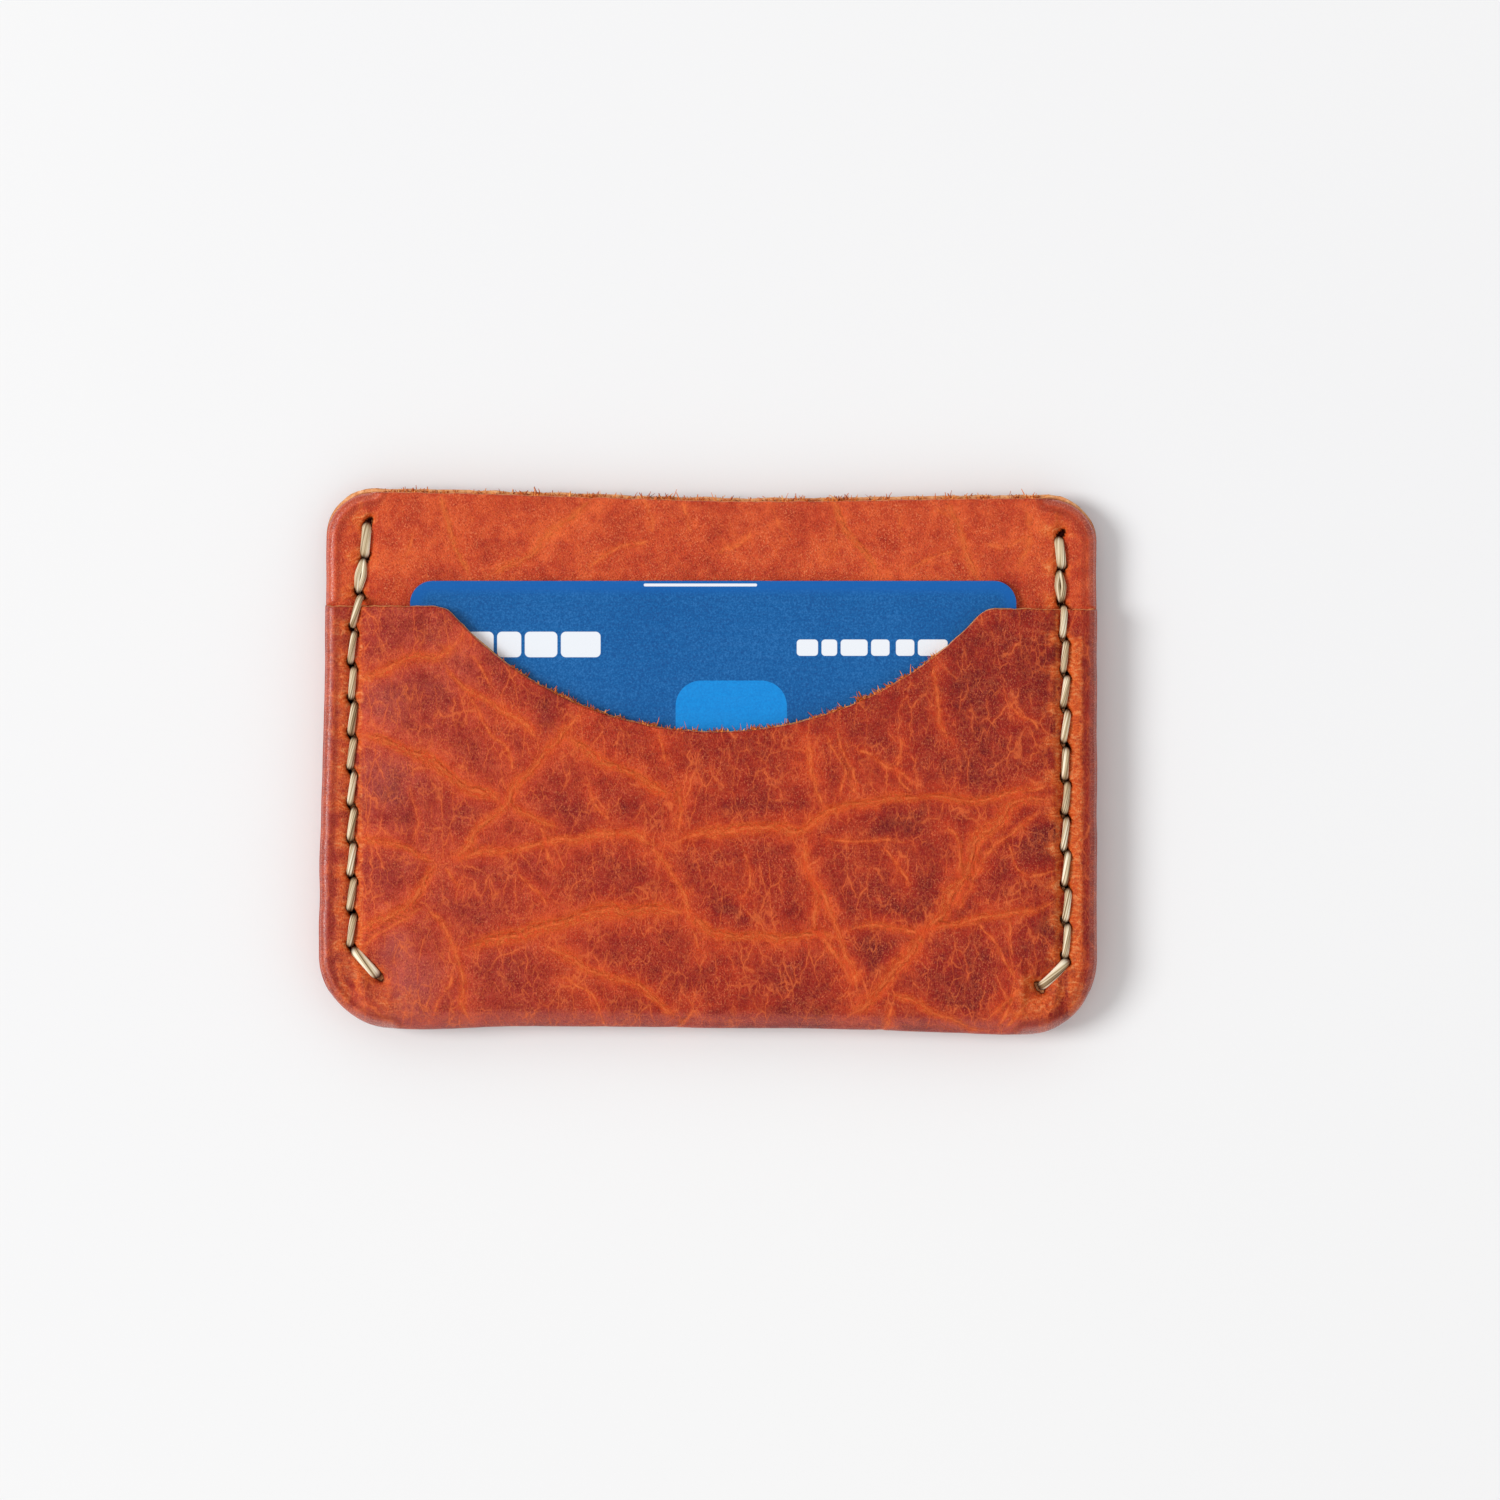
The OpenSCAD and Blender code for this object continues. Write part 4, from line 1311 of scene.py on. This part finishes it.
def chip_contacts(name):
    """Gold contact plate with its engraved dividing lines."""
    s = CardShader(name)
    (left, low), (right, high) = (CHIP_LOW - CARD_LOW)[:2], (CHIP_HIGH - CARD_LOW)[:2]
    middle = (low + high) / 2
    levels = (low, middle - PAD_HALF_H, middle + PAD_HALF_H, high)
    groove = 0.0
    for start, end in ((left, left + PAD_W), (right - PAD_W, right)):
        for bottom, top in zip(levels, levels[1:]):
            line = s.step(abs(s.outside((start, bottom), (end, top), 0.5)), 0.16, 0.08)
            groove = s.math("MAXIMUM", line, groove)
    brushed = s.noise(s.place, 0.5, 3.0, 0.6, (5, 0.3, 1))
    s.colour = s.ramp(brushed, [(0.3, srgb(196, 150, 72)), (0.7, srgb(238, 204, 128))])
    s.lay(groove, srgb(96, 66, 30))
    return s.finish(Metallic=1.0 - groove, Normal=s.bump(groove, 0.4, -0.00005),
                    Roughness=s.step(brushed, 0.3, 0.7, 0.24, 0.38))


def stripe(name):
    """Magnetic stripe: near black, finely scuffed along its length."""
    s = CardShader(name)
    scuffs = s.noise(s.place, 0.7, 3.0, 0.6, (10, 0.3, 1))
    s.colour = s.ramp(scuffs, [(0.35, srgb(22, 20, 22)), (0.75, srgb(58, 52, 52))])
    return s.finish(Roughness=s.step(scuffs, 0.3, 0.8, 0.34, 0.55))


def signature(name):
    """Off-white signature panel with fine slanting security lines."""
    s = CardShader(name)
    lines = s.step(s.math("SINE", 5.0 * (s.x + 0.6 * s.y)), 0.5, 1.0)
    paper = s.noise(s.place, 0.3, 2.0, 0.6)
    s.colour = s.ramp(paper, [(0.3, srgb(226, 224, 214)), (0.7, srgb(244, 243, 236))])
    s.lay(0.35 * lines, srgb(150, 170, 200))
    return s.finish(Roughness=s.step(paper, 0.3, 0.7, 0.62, 0.78))


def finish_card():
    """Gives each of the card's CAD solids its own material."""
    finishes = {"card_core": card_plastic, "card_front_sheet": card_print, "card_back_sheet": card_back,
                "card_chip_module": chip_contacts, "card_magnetic_stripe": stripe,
                "card_signature_panel": signature}
    for node, make in finishes.items():
        piece = frame["nodes"][node]
        piece.data.materials.clear()
        piece.data.materials.append(make(node + "_finish"))


# ---------------------------------------------------------------- the object

wrap_finish = leather("wrap_leather_finish")
panel_finish = leather("panel_leather_finish", 0.85, 0.30, 0.12, 0.36, (1.08, 1.28, 1.45))
fibre_finish = fibre("fibre_finish")
outer_wrap(wrap_finish)
tall_panel("front_panel_leather_piece", 1, PANEL_CREASES, 300, -30, -0.1, panel_finish,
           "front_panel")
rear_creases = random_creases((-HALF_W, -5), (HALF_W, HALF_W), 60, 410)
tall_panel("rear_panel_leather_piece", -1, rear_creases, 400, 0, 0.35, wrap_finish,
           "rear_panel")
seam_thread("left_seam_stitches", -1, thread("left_thread_finish"), "left_seam_thread")
seam_thread("right_seam_stitches", 1, thread("right_thread_finish"), "right_seam_thread")
top_edge_fibres(fibre_finish)
notch_edge_fibres(fibre_finish)
finish_card()

# ---------------------------------------------------------------- floor, light and camera

TABLE_HALF = 6.0  # metres
TABLE_GAP = 0.00002  # keeps the table top just below the holder


def floor():
    """A plain pale table top under the object."""
    s = Shader("table_finish")
    cloud = s.noise(s.object_place(), 0.25, 2.0, 0.5)
    s.colour = s.ramp(cloud, [(0.3, srgb(236, 236, 237)), (0.7, srgb(238, 238, 238))])
    mesh = bpy.data.meshes.new("table")
    corners = [(x * TABLE_HALF, y * TABLE_HALF, 0) for x, y in ((-1, -1), (1, -1), (1, 1), (-1, 1))]
    mesh.from_pydata(corners, [], [(0, 1, 2, 3)])
    plane = bpy.data.objects.new("table", mesh)
    plane.location.z = -TABLE_GAP
    bpy.context.scene.collection.objects.link(plane)
    mesh.materials.append(s.finish(Roughness=0.9, Specular_IOR_Level=0.1))


def light(name, azimuth, elevation, distance, size, watts):
    """A soft round lamp that points at the middle of the frame; azimuth 0 lies along +x."""
    lamp = bpy.data.lights.new(name, "AREA")
    lamp.shape, lamp.size, lamp.energy = "DISK", size, watts
    thing = bpy.data.objects.new(name, lamp)
    bpy.context.scene.collection.objects.link(thing)
    a, e = math.radians(azimuth), math.radians(elevation)
    place = distance * Vector((math.cos(a) * math.cos(e), math.sin(a) * math.cos(e), math.sin(e)))
    thing.location = place
    thing.rotation_euler = (-place).to_track_quat("-Z", "Y").to_euler()


def world():
    """Even studio light from all round, dimmer near the horizon and straight overhead."""
    made = bpy.data.worlds.new("studio")
    made.use_nodes = True
    tree = made.node_tree
    direction = tree.nodes.new("ShaderNodeTexCoord")
    split = tree.nodes.new("ShaderNodeSeparateXYZ")
    bar = tree.nodes.new("ShaderNodeValToRGB")
    tree.links.new(direction.outputs["Generated"], split.inputs[0])
    tree.links.new(split.outputs["Z"], bar.inputs["Fac"])
    tree.links.new(bar.outputs["Color"], tree.nodes["Background"].inputs["Color"])
    bar.color_ramp.elements.new(0.5)
    for element, level in zip(bar.color_ramp.elements, (0.15, 0.92, 0.5)):
        element.color = (level, level, level, 1)
    bar.color_ramp.elements[1].position = 0.5
    bpy.context.scene.world = made


SENSOR = 36.0  # width in millimetres
CAMERA_PLACE = (5.8, 1.55, 750.0)  # millimetres; it looks straight down
VIEW_WIDTH = 211.86  # width of the picture at the holder's front, in millimetres
FRONT_Z = 6.0


def camera():
    """A long lens above the holder that looks straight down at it."""
    data = bpy.data.cameras.new("camera")
    data.sensor_width = SENSOR
    data.lens = SENSOR * (CAMERA_PLACE[2] - FRONT_Z) / VIEW_WIDTH
    data.clip_end = 20.0
    thing = bpy.data.objects.new("camera", data)
    bpy.context.scene.collection.objects.link(thing)
    thing.location = [c * MM for c in CAMERA_PLACE]
    bpy.context.scene.camera = thing


floor()
world()
light("key", 176, 41, 5.0, 2.2, 162.0)
camera()
bpy.context.scene.view_settings.view_transform = "Standard"
